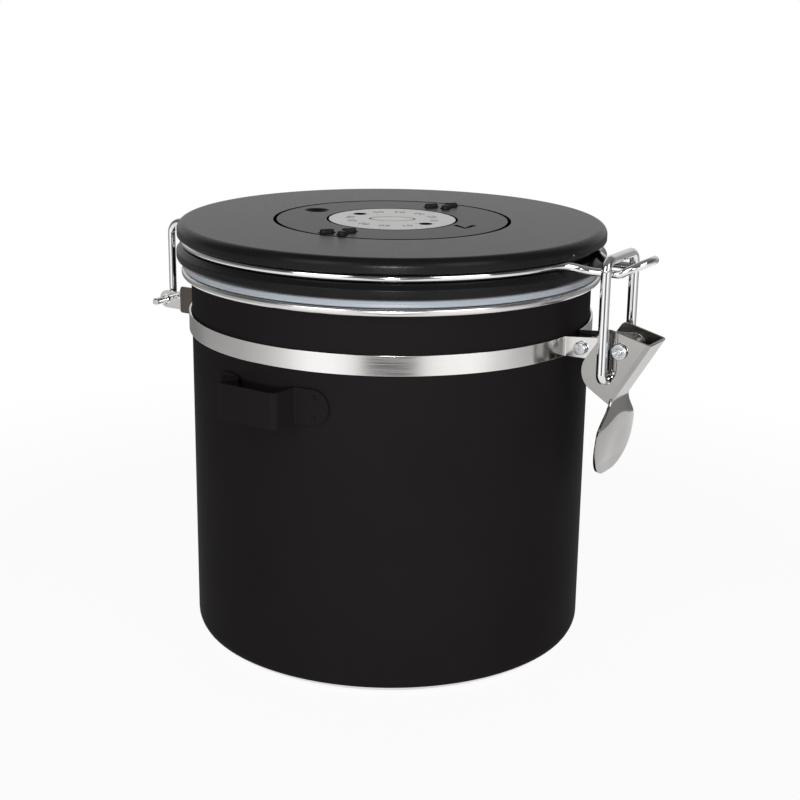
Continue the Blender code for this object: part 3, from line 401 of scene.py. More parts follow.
    @staticmethod
    def shape(piece: bpy.types.Object, tool: bpy.types.Object, cut: Cut) -> bpy.types.Object:
        """Cut, join or intersect a piece with a tool body, and remove the tool.

        Args:
            piece: The piece to change.
            tool: The tool body.
            cut: What the tool does.

        Returns:
            The piece.
        """
        Bench.modify(piece, 'BOOLEAN', object=tool, operation=cut.value, solver='EXACT')
        bpy.data.objects.remove(tool, do_unlink=True)
        return piece

    @staticmethod
    def ribbon(name: str, path: Sequence[Vector], heights: Sequence[tuple[float, float]],
               thickness: float) -> bpy.types.Object:
        """Sheet metal strip that stands on a path in plan.

        Args:
            name: Name of the new piece.
            path: Plan points of the sheet's middle.
            heights: Lower and upper height at each point.
            thickness: Thickness of the sheet.

        Returns:
            The strip with its wall.
        """
        foot = [Vector((point.x, point.y, low)) for point, (low, _) in zip(path, heights)]
        piece = Bench.draw(name, foot)
        bpy.ops.mesh.extrude_region_move(TRANSFORM_OT_translate={"value": (0, 0, SEED_PLANE)})
        bpy.ops.object.mode_set(mode='OBJECT')
        for vertex in piece.data.vertices:
            column = min(range(len(path)), key=lambda index: (path[index] - vertex.co.xy).length)
            low, high = heights[column]
            vertex.co.z = high if vertex.co.z > low + SEED_PLANE / 2 else low
        bpy.ops.object.mode_set(mode='EDIT')
        bpy.ops.mesh.select_all(action='SELECT')
        bpy.ops.mesh.normals_make_consistent(inside=False)
        Bench.rest()
        return Bench.modify(piece, 'SOLIDIFY', thickness=thickness, offset=0, use_even_offset=True)

    @staticmethod
    def wire(name: str, points: Sequence[Vector], radius: float, sides: int) -> bpy.types.Object:
        """Round wire along a path, with closed ends.

        Args:
            name: Name of the new piece.
            points: Points of the wire's middle.
            radius: Radius of the wire.
            sides: Blender's bevel resolution, a quarter of the wire's facets but one.

        Returns:
            The wire as a mesh.
        """
        piece = Bench.draw(name, points)
        Bench.pick(piece)
        bpy.ops.object.convert(target='CURVE')
        piece = bpy.context.object
        piece.data.dimensions = '3D'
        piece.data.bevel_depth = radius
        piece.data.bevel_resolution = sides
        piece.data.use_fill_caps = True
        Bench.pick(piece)
        bpy.ops.object.convert(target='MESH')
        piece = bpy.context.object
        bpy.ops.object.mode_set(mode='EDIT')
        Bench.tidy()
        piece.name = piece.data.name = name
        return piece

    @staticmethod
    def soften(piece: bpy.types.Object, width: float, segments: int = 2) -> bpy.types.Object:
        """Round the sharp edges of a piece."""
        return Bench.modify(piece, 'BEVEL', width=width, segments=segments, limit_method='ANGLE',
                            angle_limit=SMOOTH_ANGLE, use_clamp_overlap=True, harden_normals=False)

    @staticmethod
    def smooth(piece: bpy.types.Object) -> None:
        """Shade a piece smooth but for its sharp edges, and keep its large flat faces flat."""
        Bench.pick(piece)
        bpy.ops.object.shade_smooth_by_angle(angle=SMOOTH_ANGLE)
        Bench.modify(piece, 'WEIGHTED_NORMAL', keep_sharp=True)


# Finishes


class Graph:
    """Short hand for adding and linking nodes of one material."""

    def __init__(self, name: str) -> None:
        """Start a material of the given name."""
        self.material = bpy.data.materials.new(name)
        self.material.use_nodes = True
        self.nodes = self.material.node_tree.nodes
        self.links = self.material.node_tree.links
        self.shader = self.nodes["Principled BSDF"]

    def add(self, kind: str, **settings: object) -> bpy.types.Node:
        """Add a node and set its properties.

        Args:
            kind: Blender's type of the node.
            settings: Its properties by name.

        Returns:
            The node.
        """
        node = self.nodes.new(kind)
        for name, value in settings.items():
            setattr(node, name, value)
        return node

    def noise(self, scale: float, stretch: Colour, detail: float = 4.0) -> bpy.types.NodeSocket:
        """Noise on the piece's own coordinates.

        Args:
            scale: Waves per metre.
            stretch: Factor on the scale along each axis.
            detail: Octaves.

        Returns:
            The noise's socket.
        """
        place = self.add("ShaderNodeTexCoord")
        mapping = self.add("ShaderNodeMapping")
        mapping.inputs["Scale"].default_value = stretch
        texture = self.add("ShaderNodeTexNoise")
        texture.inputs["Scale"].default_value = scale
        texture.inputs["Detail"].default_value = detail
        self.links.new(place.outputs["Object"], mapping.inputs["Vector"])
        self.links.new(mapping.outputs["Vector"], texture.inputs["Vector"])
        return texture.outputs["Fac"]

    def spread(self, source: bpy.types.NodeSocket, low: float, high: float,
               start: float = 0.3, stop: float = 0.7) -> bpy.types.NodeSocket:
        """Map a value from one range to another.

        Args:
            source: Socket of the value.
            low: Result where the value is at the start.
            high: Result where the value is at the stop.
            start: Lower end of the value's range.
            stop: Upper end of the value's range.

        Returns:
            The result's socket.
        """
        node = self.add("ShaderNodeMapRange")
        for name, value in (("From Min", start), ("From Max", stop), ("To Min", low), ("To Max", high)):
            node.inputs[name].default_value = value
        self.links.new(source, node.inputs["Value"])
        return node.outputs["Result"]

    def tint(self, share: bpy.types.NodeSocket, first: Colour, second: Colour) -> bpy.types.NodeSocket:
        """Mix two colours.

        Args:
            share: Socket of the second colour's share.
            first: First colour.
            second: Second colour.

        Returns:
            The socket of the mixed colour.
        """
        node = self.add("ShaderNodeMix", data_type='RGBA')
        node.inputs["A"].default_value = (*first, 1)
        node.inputs["B"].default_value = (*second, 1)
        self.links.new(share, node.inputs["Factor"])
        return node.outputs["Result"]

    def bump(self, source: bpy.types.NodeSocket, depth: float) -> bpy.types.NodeSocket:
        """Turn a value into a bump.

        Args:
            source: Socket of the value.
            depth: Depth of the bump in metres.

        Returns:
            The socket of the bumped normal.
        """
        node = self.add("ShaderNodeBump")
        node.inputs["Distance"].default_value = depth
        self.links.new(source, node.inputs["Height"])
        return node.outputs["Normal"]

    def feed(self, **sources: bpy.types.NodeSocket) -> None:
        """Link sources to the shader's sockets, named with underscores for spaces."""
        for name, source in sources.items():
            self.links.new(source, self.shader.inputs[name.replace("_", " ")])

    def fix(self, **values: object) -> None:
        """Set constants on the shader's sockets, named with underscores for spaces."""
        for name, value in values.items():
            self.shader.inputs[name.replace("_", " ")].default_value = value


# Materials that are made already, by the name of their finish
MADE: dict[str, bpy.types.Material] = {}


@dataclass(frozen=True)
class Finish:
    """A finish with fine grain, a slow change of tone and a change of gloss."""
    name: str
    colour: Colour
    second: Colour
    roughness: tuple[float, float]
    metallic: float = 0.0
    grain_scale: float = 4000.0
    grain_depth: float = 0.00001
    grain_stretch: Colour = (1, 1, 1)
    cloud_scale: float = 60.0
    cloud_stretch: Colour = (1, 1, 1)
    specular: float = 0.5
    scatter: float = 0.0
    scatter_reach: float = 0.002

    def material(self) -> bpy.types.Material:
        """The material of this finish, made once."""
        if self.name in MADE:
            return MADE[self.name]
        graph = Graph(self.name)
        MADE[self.name] = graph.material
        cloud = graph.noise(self.cloud_scale, self.cloud_stretch)
        grain = graph.noise(self.grain_scale, self.grain_stretch, detail=2.0)
        graph.feed(Base_Color=graph.tint(graph.spread(cloud, 0, 1), self.colour, self.second))
        graph.feed(Roughness=graph.spread(grain, *self.roughness))
        graph.feed(Normal=graph.bump(grain, self.grain_depth))
        graph.fix(Metallic=self.metallic, Specular_IOR_Level=self.specular)
        if self.scatter > 0:
            graph.fix(Subsurface_Weight=self.scatter, Subsurface_Scale=self.scatter_reach)
        return graph.material


BODY_COAT = Finish("body_coat", (0.0102, 0.0089, 0.0097), (0.0117, 0.0102, 0.0111), (0.50, 0.58),
                   grain_scale=2200, grain_depth=0.000012, cloud_scale=30, specular=0.008)
BARE_STEEL = Finish("bare_steel", (0.72, 0.71, 0.70), (0.66, 0.65, 0.63), (0.16, 0.28), metallic=1.0,
                    grain_scale=900, grain_depth=0.000002, grain_stretch=(0.08, 0.08, 6.0))
BAND_STEEL = Finish("band_steel", (0.74, 0.73, 0.72), (0.69, 0.68, 0.66), (0.13, 0.22), metallic=1.0,
                    grain_scale=900, grain_depth=0.0000005, grain_stretch=(0.06, 0.06, 8.0))
POLISHED_STEEL = Finish("latch_steel", (0.40, 0.39, 0.375), (0.34, 0.33, 0.32), (0.06, 0.12), metallic=1.0,
                        grain_scale=1500, grain_depth=0.000002, grain_stretch=(4.0, 0.3, 0.3))
# Dark steel: the hinge bracket's duller plate, and painted shade inside the lever's channel
DULL_STEEL_AND_SHADE = Finish("dull_steel_and_shade", (0.12, 0.105, 0.09), (0.09, 0.08, 0.07), (0.30, 0.42), metallic=1.0,
                    grain_scale=1500, grain_depth=0.000004)
CHROME = Finish("chrome", (0.80, 0.80, 0.81), (0.74, 0.74, 0.75), (0.05, 0.11), metallic=1.0,
                grain_scale=3000, grain_depth=0.0000006)
ZINC = Finish("zinc_plate", (0.62, 0.63, 0.65), (0.50, 0.51, 0.53), (0.24, 0.36), metallic=1.0,
              grain_scale=2500, grain_depth=0.000003)
LID_PLASTIC = Finish("lid_moulding", (0.0058, 0.0058, 0.0064), (0.0082, 0.0082, 0.0088), (0.25, 0.31),
                     grain_scale=3200, grain_depth=0.000028, cloud_scale=45, specular=0.115)
DIAL_PLASTIC = Finish("dial_moulding", (0.0058, 0.0058, 0.0064), (0.0082, 0.0082, 0.0088), (0.28, 0.34),
                      grain_scale=5200, grain_depth=0.000008, cloud_scale=45, specular=0.11)
GRIP_RUBBER = Finish("grip_rubber", (0.010, 0.011, 0.014), (0.014, 0.015, 0.018), (0.36, 0.44),
                     grain_scale=1800, grain_depth=0.000003, specular=0.08)
SILVER = Finish("silver_lacquer", (0.80, 0.80, 0.79), (0.74, 0.74, 0.73), (0.36, 0.46), metallic=0.6,
                grain_scale=6000, grain_depth=0.000004)
# Grey ink of the numbers, also used as painted shade in the disc's engraved oval
GREY_INK_AND_SHADE = Finish("grey_ink_and_shade", (0.20, 0.20, 0.20), (0.16, 0.16, 0.16), (0.5, 0.6))
# Black painted as shade on the well's wall, the dial ring's round edges and arrow groove, and the disc's
# holes and rim
PAINTED_SHADE_BLACK = Finish("painted_shade_black", (0.0020, 0.0020, 0.0022), (0.0026, 0.0026, 0.0028), (0.7, 0.8),
                    specular=0.0)
SILICONE = Finish("clear_silicone", (0.325, 0.36, 0.40), (0.295, 0.325, 0.36), (0.38, 0.50),
                  grain_scale=1500, grain_depth=0.000006, scatter=0.3)
RUBBER = Finish("soft_rubber", (0.020, 0.020, 0.020), (0.028, 0.028, 0.028), (0.65, 0.8),
                grain_scale=2500)


def deliver(piece: bpy.types.Object, body: Body, finishes: Sequence[Finish],
            nodes: Sequence[str] = ()) -> bpy.types.Object:
    """Dress a piece and hand it to its body.

    Args:
        piece: The finished mesh.
        body: Body of the frame that it moves with.
        finishes: Its finishes, in the order of its material indices.
        nodes: Nodes of the frame that it stands for.

    Returns:
        The piece.
    """
    for finish in finishes:
        piece.data.materials.append(finish.material())
    Bench.smooth(piece)
    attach(piece, body.value)
    if nodes:
        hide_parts(*nodes)
    log.info("%s: %d faces on %s", piece.name, len(piece.data.polygons), body.value)
    return piece


def dress_node(node: str, finish: Finish) -> None:
    """Give a node that is carried over from the frame its finish.

    Args:
        node: Name of the node.
        finish: The finish.
    """
    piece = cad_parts[node]
    piece.data.materials.clear()
    piece.data.materials.append(finish.material())
    log.info("%s: node kept with %s", node, finish.name)


# Sub-assemblies


@dataclass
class Cup:
    """Steel cup with a coated outside and a bare rim."""
    radius: float = 0.0600
    wall: float = 0.0008
    height: float = 0.1130
    foot_round: float = 0.0045
    rim_radius: float = 0.0628
    rim_height: float = 0.0022
    rim_round: float = 0.0009
    recess_radius: float = 0.0520
    recess_depth: float = 0.0004
    recess_slope: float = 0.0006
    recess_round: float = 0.0008
    floor: float = 0.0014

    def build(self) -> None:
        """Build the cup in one piece."""
        inner = self.radius - self.wall
        foot = self.height - self.rim_height
        profile = outline([
            (0, self.recess_depth, 0),
            (self.recess_radius, self.recess_depth, self.recess_round),
            (self.recess_radius + self.recess_slope, 0, ROUND),
            (self.radius, 0, self.foot_round),
            (self.radius, foot, SMALL_ROUND),
            (self.rim_radius, foot, self.rim_round),
            (self.rim_radius, self.height, self.rim_round),
            (inner, self.height, self.rim_round),
            (inner, self.floor, self.foot_round - self.wall),
            (0, self.floor, 0),
        ], closed=False, points=LARGE_ROUND_POINTS)
        cup = Bench.turn("cup", profile, CUP_FACETS)
        for face in cup.data.polygons:
            out, up = face.center.xy.length, face.center.z
            inside = out < inner + EDGE and up > self.recess_depth + self.recess_slope
            face.material_index = 1 if inside or up > foot - FINE_EDGE else 0
        deliver(cup, Body.CANISTER, (BODY_COAT, BARE_STEEL), ("body_shell",))


@dataclass
class NeckBand:
    """Steel strap round the neck, with its ends bent out as ears and a clamp screw through them."""
    arc_steps: int = 90
    cup_radius: float = 0.0600
    thickness: float = 0.0006
    height: float = 0.0056
    centre_height: float = 0.0971
    ear_spacing: float = 0.0098
    ear_end: float = 0.0034
    ear_bend: float = 0.0009
    ear_edge: float = 0.00013
    pivot_out: float = 0.0780
    pivot_height: float = 0.0982
    hole_radius: float = 0.0015
    screw_out: float = 0.0659
    screw_height: float = 0.0973
    screw_radius: float = 0.0012
    head_radius: float = 0.0019
    head_height: float = 0.0012
    slot_half: float = 0.0003
    slot_depth: float = 0.0005
    nut_radius: float = 0.0021
    nut_height: float = 0.0018
    nut_edge: float = 0.00015
    screw_end: float = 0.0010

    def build(self) -> None:
        """Build the strap and its clamp."""
        self.strap()
        self.clamp()

    def strap(self) -> None:
        """Bend the strap from one ear round the neck to the other ear."""
        radius = self.cup_radius + FIT_GAP + self.thickness / 2
        plane = (self.ear_spacing - self.thickness) / 2
        gap = math.asin((plane + self.ear_bend) / radius)
        half = ear_tip(plane, -self.pivot_out, -self.ear_end)
        start = plan_arc(radius, gap, gap, 1)[0]
        tangent = Vector((start.y, -start.x)).normalized()
        corner = Vector((plane, start.y + (plane - start.x) * tangent.y / tangent.x))
        half += fillet([(Vector((plane, -self.pivot_out)), 0), (corner, self.ear_bend), (start, 0)],
                       closed=False)[1:-1]
        half += plan_arc(radius, gap, math.pi, self.arc_steps)
        path = mirrored(half)
        heights = [self.column(-point.y if abs(point.x) <= plane + self.ear_bend and point.y < 0 else 0)
                   for point in path]
        band = Bench.ribbon("neck_strap", path, heights, self.thickness)
        for out, height in ((self.pivot_out, self.pivot_height), (self.screw_out, self.screw_height)):
            Bench.shape(band, Bench.rod("ear_hole", self.hole_radius, self.ear_spacing + 2 * OVERRUN,
                                        about_x(0, out, height, -1)), Cut.AWAY)
        Bench.soften(band, self.ear_edge)
        deliver(band, Body.CANISTER, (BAND_STEEL,), ("neck_band",))

    def column(self, out: float) -> tuple[float, float]:
        """Height of the sheet: even round the cup, tapering along the ear and round at its end.

        Args:
            out: Distance from the canister's axis.

        Returns:
            Lower and upper height.
        """
        low = self.centre_height - self.height / 2
        high = self.centre_height + self.height / 2
        share = min(max((out - self.cup_radius) / (self.pivot_out - self.cup_radius), 0), 1)
        centre = (low + high) / 2 * (1 - share) + self.pivot_height * share
        half = self.height / 2 * (1 - share) + self.ear_end * share
        if out > self.pivot_out:
            half = end_half(self.ear_end, out - self.pivot_out)
        return centre - half, centre + half

    def clamp(self) -> None:
        """Pan-head screw with a slot, and its nut."""
        face = self.ear_spacing / 2 + FIT_GAP
        top = face + self.head_height
        tip = -(face + self.nut_height + self.screw_end)
        profile = outline([
            (0, top, 0), (self.head_radius, top, WIDE_ROUND), (self.head_radius, face, FINE_EDGE),
            (self.screw_radius, face, 0), (self.screw_radius, tip, SMALL_ROUND), (0, tip, 0),
        ], closed=False)
        screw = Bench.turn("clamp_screw_turned", profile, SCREW_FACETS)
        slot = Bench.plate("slot", bar(self.head_radius + OVERRUN, self.slot_half), 2 * self.slot_depth,
                           Matrix.Translation((0, 0, top)))
        Bench.shape(screw, slot, Cut.AWAY)
        Bench.put(screw, Matrix.Translation((0, -self.screw_out, self.screw_height))
                  @ Matrix.Rotation(-math.pi / 2, 4, 'Y'))
        deliver(screw, Body.CANISTER, (ZINC,), ("clamp_screw",))
        place = about_x(face + self.nut_height / 2, self.screw_out, self.screw_height, -1)
        nut = Bench.rod("clamp_nut_cut", self.nut_radius, self.nut_height, place, NUT_SIDES)
        thread = Bench.rod("thread", self.screw_radius + HAIR, self.nut_height + OVERRUN, place, HOLE_FACETS)
        Bench.shape(nut, thread, Cut.AWAY)
        Bench.soften(nut, self.nut_edge)
        deliver(nut, Body.CANISTER, (ZINC,), ("clamp_nut",))


@dataclass
class HingeBracket:
    """Strap welded behind the neck band, with two ears for the lid wire's pins."""
    cup_radius: float = 0.0600
    band_thickness: float = 0.0006
    sheet: float = 0.0008
    height: float = 0.0083
    centre_height: float = 0.0971
    ear_centre: float = 0.01965
    ear_radius: float = 0.00275
    ear_bend: float = 0.0012
    bend_inset: float = 0.0002
    bend_reach: float = 0.0030
    bend_turn: float = 0.05
    root_out: float = 0.0660
    root_round: float = 0.0010
    root_steps: int = 8
    arc_steps: int = 16
    edge: float = 0.00018
    hinge_out: float = 0.0715
    hinge_height: float = 0.0966
    hole_radius: float = 0.00145

    def build(self) -> None:
        """Bend the bracket from one ear round the band to the other."""
        radius = self.cup_radius + 2 * FIT_GAP + self.band_thickness + self.sheet / 2
        spread = math.asin((self.ear_centre - self.ear_bend / 2) / radius)
        tip = ear_tip(self.ear_centre, self.hinge_out, self.ear_radius)
        shares = [step / self.root_steps for step in range(self.root_steps + 1)]
        shoulder = [Vector((self.ear_centre, self.root_out + self.root_round * (0.5 - share)))
                    for share in shares]
        start = plan_arc(radius, math.pi - spread, math.pi, 1)[0]
        corner = Vector((self.ear_centre, start.y - self.bend_inset))
        inner = start - Vector((self.bend_reach, 0))
        bend = fillet([(shoulder[-1], 0), (corner, self.ear_bend), (inner, 0)], closed=False)[1:-1]
        arc = plan_arc(radius, math.pi - spread + self.bend_turn, math.pi, self.arc_steps)
        path = mirrored(tip + shoulder + bend + arc)
        bracket = Bench.ribbon("hinge_strap", path, [self.column(point.y) for point in path], self.sheet)
        length = 2 * (self.ear_centre + self.sheet)
        Bench.shape(bracket, Bench.rod("pin_hole", self.hole_radius, length,
                                       about_x(0, self.hinge_out, self.hinge_height, 1)), Cut.AWAY)
        Bench.soften(bracket, self.edge)
        for face in bracket.data.polygons:
            between = abs(face.center.x) < self.ear_centre + self.sheet
            face.material_index = 1 if between and face.center.y < self.root_out else 0
        deliver(bracket, Body.CANISTER, (BAND_STEEL, DULL_STEEL_AND_SHADE), ("hinge_bracket",))

    def column(self, out: float) -> tuple[float, float]:
        """Height of the sheet: high round the band, a shoulder, and a slim ear with a round end.

        Args:
            out: Distance from the canister's axis.

        Returns:
            Lower and upper height.
        """
        slim = ease((out - self.root_out) / self.root_round + 0.5)
        centre = self.centre_height * (1 - slim) + self.hinge_height * slim
        half = self.height / 2 * (1 - slim) + self.ear_radius * slim
        if out > self.hinge_out:
            half = end_half(self.ear_radius, out - self.hinge_out)
        return centre - half, centre + half


@dataclass
class ScoopHolder:
    """Strip bent to a square loop on the cup's side, with round flange ends and weld marks."""
    cup_radius: float = 0.0600
    angle: float = math.radians(-92.7)
    sheet: float = 0.0008
    centre_height: float = 0.0843
    height: float = 0.0103
    width: float = 0.0204
    front_out: float = 0.0692
    flange_length: float = 0.0102
    corner: float = 0.0017
    foot_share: float = 0.7
    end_share: float = 0.03
    flange_steps: int = 24
    edge: float = 0.00016
    weld_sides: int = 32
    weld_rings: int = 24
    weld_radius: float = 0.0008
    weld_depth: float = 0.0005
    weld_inset: float = 0.0042
    weld_rise: float = 0.0029

    def build(self) -> None:
        """Bend the holder and press its weld marks."""
        radius = self.cup_radius + FIT_GAP + self.sheet / 2
        half = (self.width - self.sheet) / 2
        root = math.asin(half / radius)
        end = root + self.flange_length / radius
        flange = plan_arc(radius, end, root + self.corner / radius, self.flange_steps)
        front = -(self.front_out - self.sheet / 2)
        foot = Vector((half, -radius * math.cos(root)))
        bends = [(flange[-1], 0), (foot, self.corner * self.foot_share),
                 (Vector((half, front)), self.corner), (Vector((0, front)), 0)]
        path = mirrored(flange + fillet(bends, closed=False)[1:])
        round_end = self.height / 2
        heights = []
        for point in path:
            turn = abs(math.atan2(point.x, -point.y))
            into = (end - turn) * radius
            share = 1.0
            if into < round_end and abs(point.x) > half:
                share = max(math.sqrt(max(1 - (1 - into / round_end) ** 2, 0)), self.end_share)
            heights.append((self.centre_height - share * round_end, self.centre_height + share * round_end))
        holder = Bench.ribbon("scoop_loop", path, heights, self.sheet)
        Bench.soften(holder, self.edge)
        self.press_welds(holder, radius, end)
        Bench.put(holder, Matrix.Rotation(self.angle, 4, 'Z'))
        deliver(holder, Body.CANISTER, (BODY_COAT,), ("scoop_holder",))

    def press_welds(self, holder: bpy.types.Object, radius: float, end: float) -> None:
        """Press two weld marks into each flange.

        Args:
            holder: The bent strip, before it is turned to its side of the cup.
            radius: Radius of the flanges' middle.
            end: Angle at which a flange ends.
        """
        turn = end - self.weld_inset / radius
        face = radius + self.sheet / 2 + self.weld_radius - self.weld_depth
        for side in (-1, 1):
            for rise in (-self.weld_rise, self.weld_rise):
                Bench.rest()
                bpy.ops.mesh.primitive_uv_sphere_add(segments=self.weld_sides, ring_count=self.weld_rings,
                                                     radius=self.weld_radius)
                place = Matrix.Translation((side * face * math.sin(turn), -face * math.cos(turn),
                                            self.centre_height + rise))
                Bench.shape(holder, Bench.put(bpy.context.object, place), Cut.AWAY)


@dataclass
class Latch:
    """Over-centre latch: channel lever with a thumb paddle, rivet and wire hoop."""
    width: float = 0.0119
    sheet: float = 0.0008
    bend: float = 0.0013
    blank: float = 0.030
    edge: float = 0.00016
    pivot: Vector = field(default_factory=lambda: Vector((0.0780, 0.0982)))
    hoop_hole: Vector = field(default_factory=lambda: Vector((0.0744, 0.0899)))
    web_top: Vector = field(default_factory=lambda: Vector((0.0863, 0.1006)))
    web_foot: Vector = field(default_factory=lambda: Vector((0.0756, 0.0829)))
    plate_top: Corner = (0.0747, 0.1024, 0.0015)
    lobe: Corner = (0.0731, 0.0914, 0.0063)
    paddle_half: float = 0.0122
    paddle_length: float = 0.0216
    paddle_columns: int = 36
    paddle_rows: int = 96
    paddle_crown: float = 0.0012
    crown_share: float = 5 / 6
    paddle_lean: float = 0.0009
    paddle_hook: float = 0.0020
    paddle_dish: float = 0.0006
    dish_middle: float = 0.55
    dish_fall: tuple[float, float] = (4.0, 12.0)
    paddle_lap: float = 0.0012
    flare_share: float = 0.42
    widest_share: float = 0.55
    tip_share: float = 0.16
    rivet_radius: float = 0.0012
    rivet_head: float = 0.0023
    rivet_head_height: float = 0.0008
    rivet_dome: float = 0.0008
    rivet_dome_drop: float = 0.0001
    rivet_ditch: tuple[float, float, float] = (0.0011, 0.0014, 0.0015)
    rivet_ditch_depth: float = 0.0005
    hoop_wire: float = 0.0014
    hoop_sides: int = 8
    hoop_spacing: float = 0.0192
    hoop_length: float = 0.0336
    hoop_lower_bend: float = 0.0022
    hoop_upper_bend: float = 0.0032
    hoop_end: float = 0.0008
    hoop_edge: float = 0.00025

    def build(self) -> None:
        """Build lever, rivet and hoop."""
        self.lever()
        self.rivet()
        self.hoop()

    def channel(self) -> bpy.types.Object:
        """Bent channel, cut to the side plates' outline."""
        half_sheet = self.sheet / 2
        way = (self.web_foot - self.web_top).normalized()
        out = Vector((-way.y, way.x))
        half = self.width / 2
        inner = half - self.sheet
        inner_bend = self.bend - self.sheet
        section = outline([
            (-half, -self.blank, 0), (-half, half_sheet, self.bend),
            (half, half_sheet, self.bend), (half, -self.blank, 0),
            (inner, -self.blank, 0), (inner, -half_sheet, inner_bend),
            (-inner, -half_sheet, inner_bend), (-inner, -self.blank, 0),
        ], points=LARGE_ROUND_POINTS)
        middle = (self.web_foot + self.web_top) / 2
        place = Matrix(((1, 0, 0, 0), (0, -out.x, -way.x, -middle.x), (0, out.y, way.y, middle.y),
                        (0, 0, 0, 1)))
        channel = Bench.plate("latch_channel", section, 2 * self.blank, place)
        side = hull([self.plate_top, (*self.web_top, half_sheet), (*self.web_foot, half_sheet), self.lobe])
        return Bench.shape(channel, Bench.plate("side", side, 2 * self.width, LATCH_PLANE), Cut.COMMON)

    def paddle_half_width(self, along: float) -> float:
        """Half the paddle's width: flared below the web, then even, then round to its end.

        Args:
            along: Share of the paddle's length, from the web down.

        Returns:
            Half the width there.
        """
        root = self.width / 2 - HAIR
        if along < self.flare_share:
            return root + (self.paddle_half - root) * (1 - math.cos(math.pi * along / self.flare_share)) / 2
        if along < self.widest_share:
            return self.paddle_half
        fall = (along - self.widest_share) / (1 - self.widest_share)
        rounding = math.sqrt(max(1 - fall * fall, 0))
        return self.paddle_half * (self.tip_share + (1 - self.tip_share) * rounding)

    def paddle(self) -> bpy.types.Object:
        """Crowned thumb paddle that runs on from the web."""
        Bench.rest()
        bpy.ops.mesh.primitive_grid_add(x_subdivisions=self.paddle_columns, y_subdivisions=self.paddle_rows,
                                        size=2)
        paddle = bpy.context.object
        fall_across, fall_along = self.dish_fall
        for vertex in paddle.data.vertices:
            along = (1 - vertex.co.y) / 2
            sideways = vertex.co.x
            drop = along * self.paddle_length - self.paddle_lap * (1 - along)
            crown = self.paddle_crown * (1 - sideways ** 2)
            crown *= math.sin(math.pi * min(along / self.crown_share, 1))
            crown -= self.paddle_dish * math.exp(-fall_across * sideways ** 2
                                                 - fall_along * (along - self.dish_middle) ** 2)
            out = self.web_foot.x + (1 - along) ** 2 * self.paddle_lean - along ** 3 * self.paddle_hook
            vertex.co = (sideways * self.paddle_half_width(along), -(out + crown - self.sheet / 2),
                         self.web_foot.y - drop)
        bpy.ops.object.mode_set(mode='EDIT')
        Bench.tidy()
        return Bench.modify(paddle, 'SOLIDIFY', thickness=self.sheet, offset=0, use_even_offset=True)

    def lever(self) -> None:
        """Join channel and paddle, and cut the holes for rivet and hoop."""
        lever = Bench.shape(self.channel(), self.paddle(), Cut.ADD)
        length = self.width + 2 * OVERRUN
        for place, radius in ((self.pivot, self.rivet_radius), (self.hoop_hole, self.hoop_wire)):
            Bench.shape(lever, Bench.rod("hole", radius + FIT_GAP, length, about_x(0, *place, -1)), Cut.AWAY)
        Bench.soften(lever, self.edge)
        way = (self.web_foot - self.web_top).normalized()
        inside = self.width / 2 - self.sheet + HAIR
        # Faces inside the channel, behind the web, get the dark steel as painted shade
        for face in lever.data.polygons:
            behind = (Vector((-face.center.y, face.center.z)) - self.web_foot).dot(Vector((-way.y, way.x)))
            in_painted_shade = behind < HAIR - self.sheet / 2 and abs(face.center.x) < inside
            face.material_index = 1 if in_painted_shade and face.center.z > self.web_foot.y else 0
        deliver(lever, Body.LEVER, (POLISHED_STEEL, DULL_STEEL_AND_SHADE), ("latch_lever",))

    def rivet(self) -> None:
        """Rivet with a ring and a domed middle on each head."""
        face = self.width / 2 + FIT_GAP
        top = face + self.rivet_head_height
        dome = top - self.rivet_dome_drop
        ditch = top - self.rivet_ditch_depth
        ditch_start, ditch_end, ring = self.rivet_ditch
        head = outline([
            (0, dome, 0), (self.rivet_dome, dome, SMALL_ROUND), (ditch_start, ditch, FINE_EDGE),
            (ditch_end, ditch, FINE_EDGE), (ring, top, FINE_EDGE), (self.rivet_head, top, ROUND),
            (self.rivet_head, face, FINE_EDGE), (self.rivet_radius, face, 0),
        ], closed=False)
        profile = head + [Vector((point.x, -point.y)) for point in reversed(head)]
        rivet = Bench.turn("pivot_rivet", profile, PIN_FACETS)
        Bench.put(rivet, about_x(0, *self.pivot, -1))
        deliver(rivet, Body.CANISTER, (ZINC,), ("lever_rivet",))

    def hoop(self) -> None:
        """Wire hoop with its ends turned into the lever."""
        half = self.hoop_spacing / 2
        end = self.width / 2 - self.sheet - self.hoop_end
        out, low = self.hoop_hole
        high = low + self.hoop_length
        side = fillet([(Vector((end, -out, low)), 0), (Vector((half, -out, low)), self.hoop_lower_bend),
                       (Vector((half, -out, high)), self.hoop_upper_bend), (Vector((0, -out, high)), 0)],
                      closed=False, points=BEND_POINTS)
        hoop = Bench.wire("hoop_wire", mirrored(side), self.hoop_wire, self.hoop_sides)
        Bench.soften(hoop, self.hoop_edge)
        deliver(hoop, Body.HOOP, (CHROME,), ("latch_hoop",))


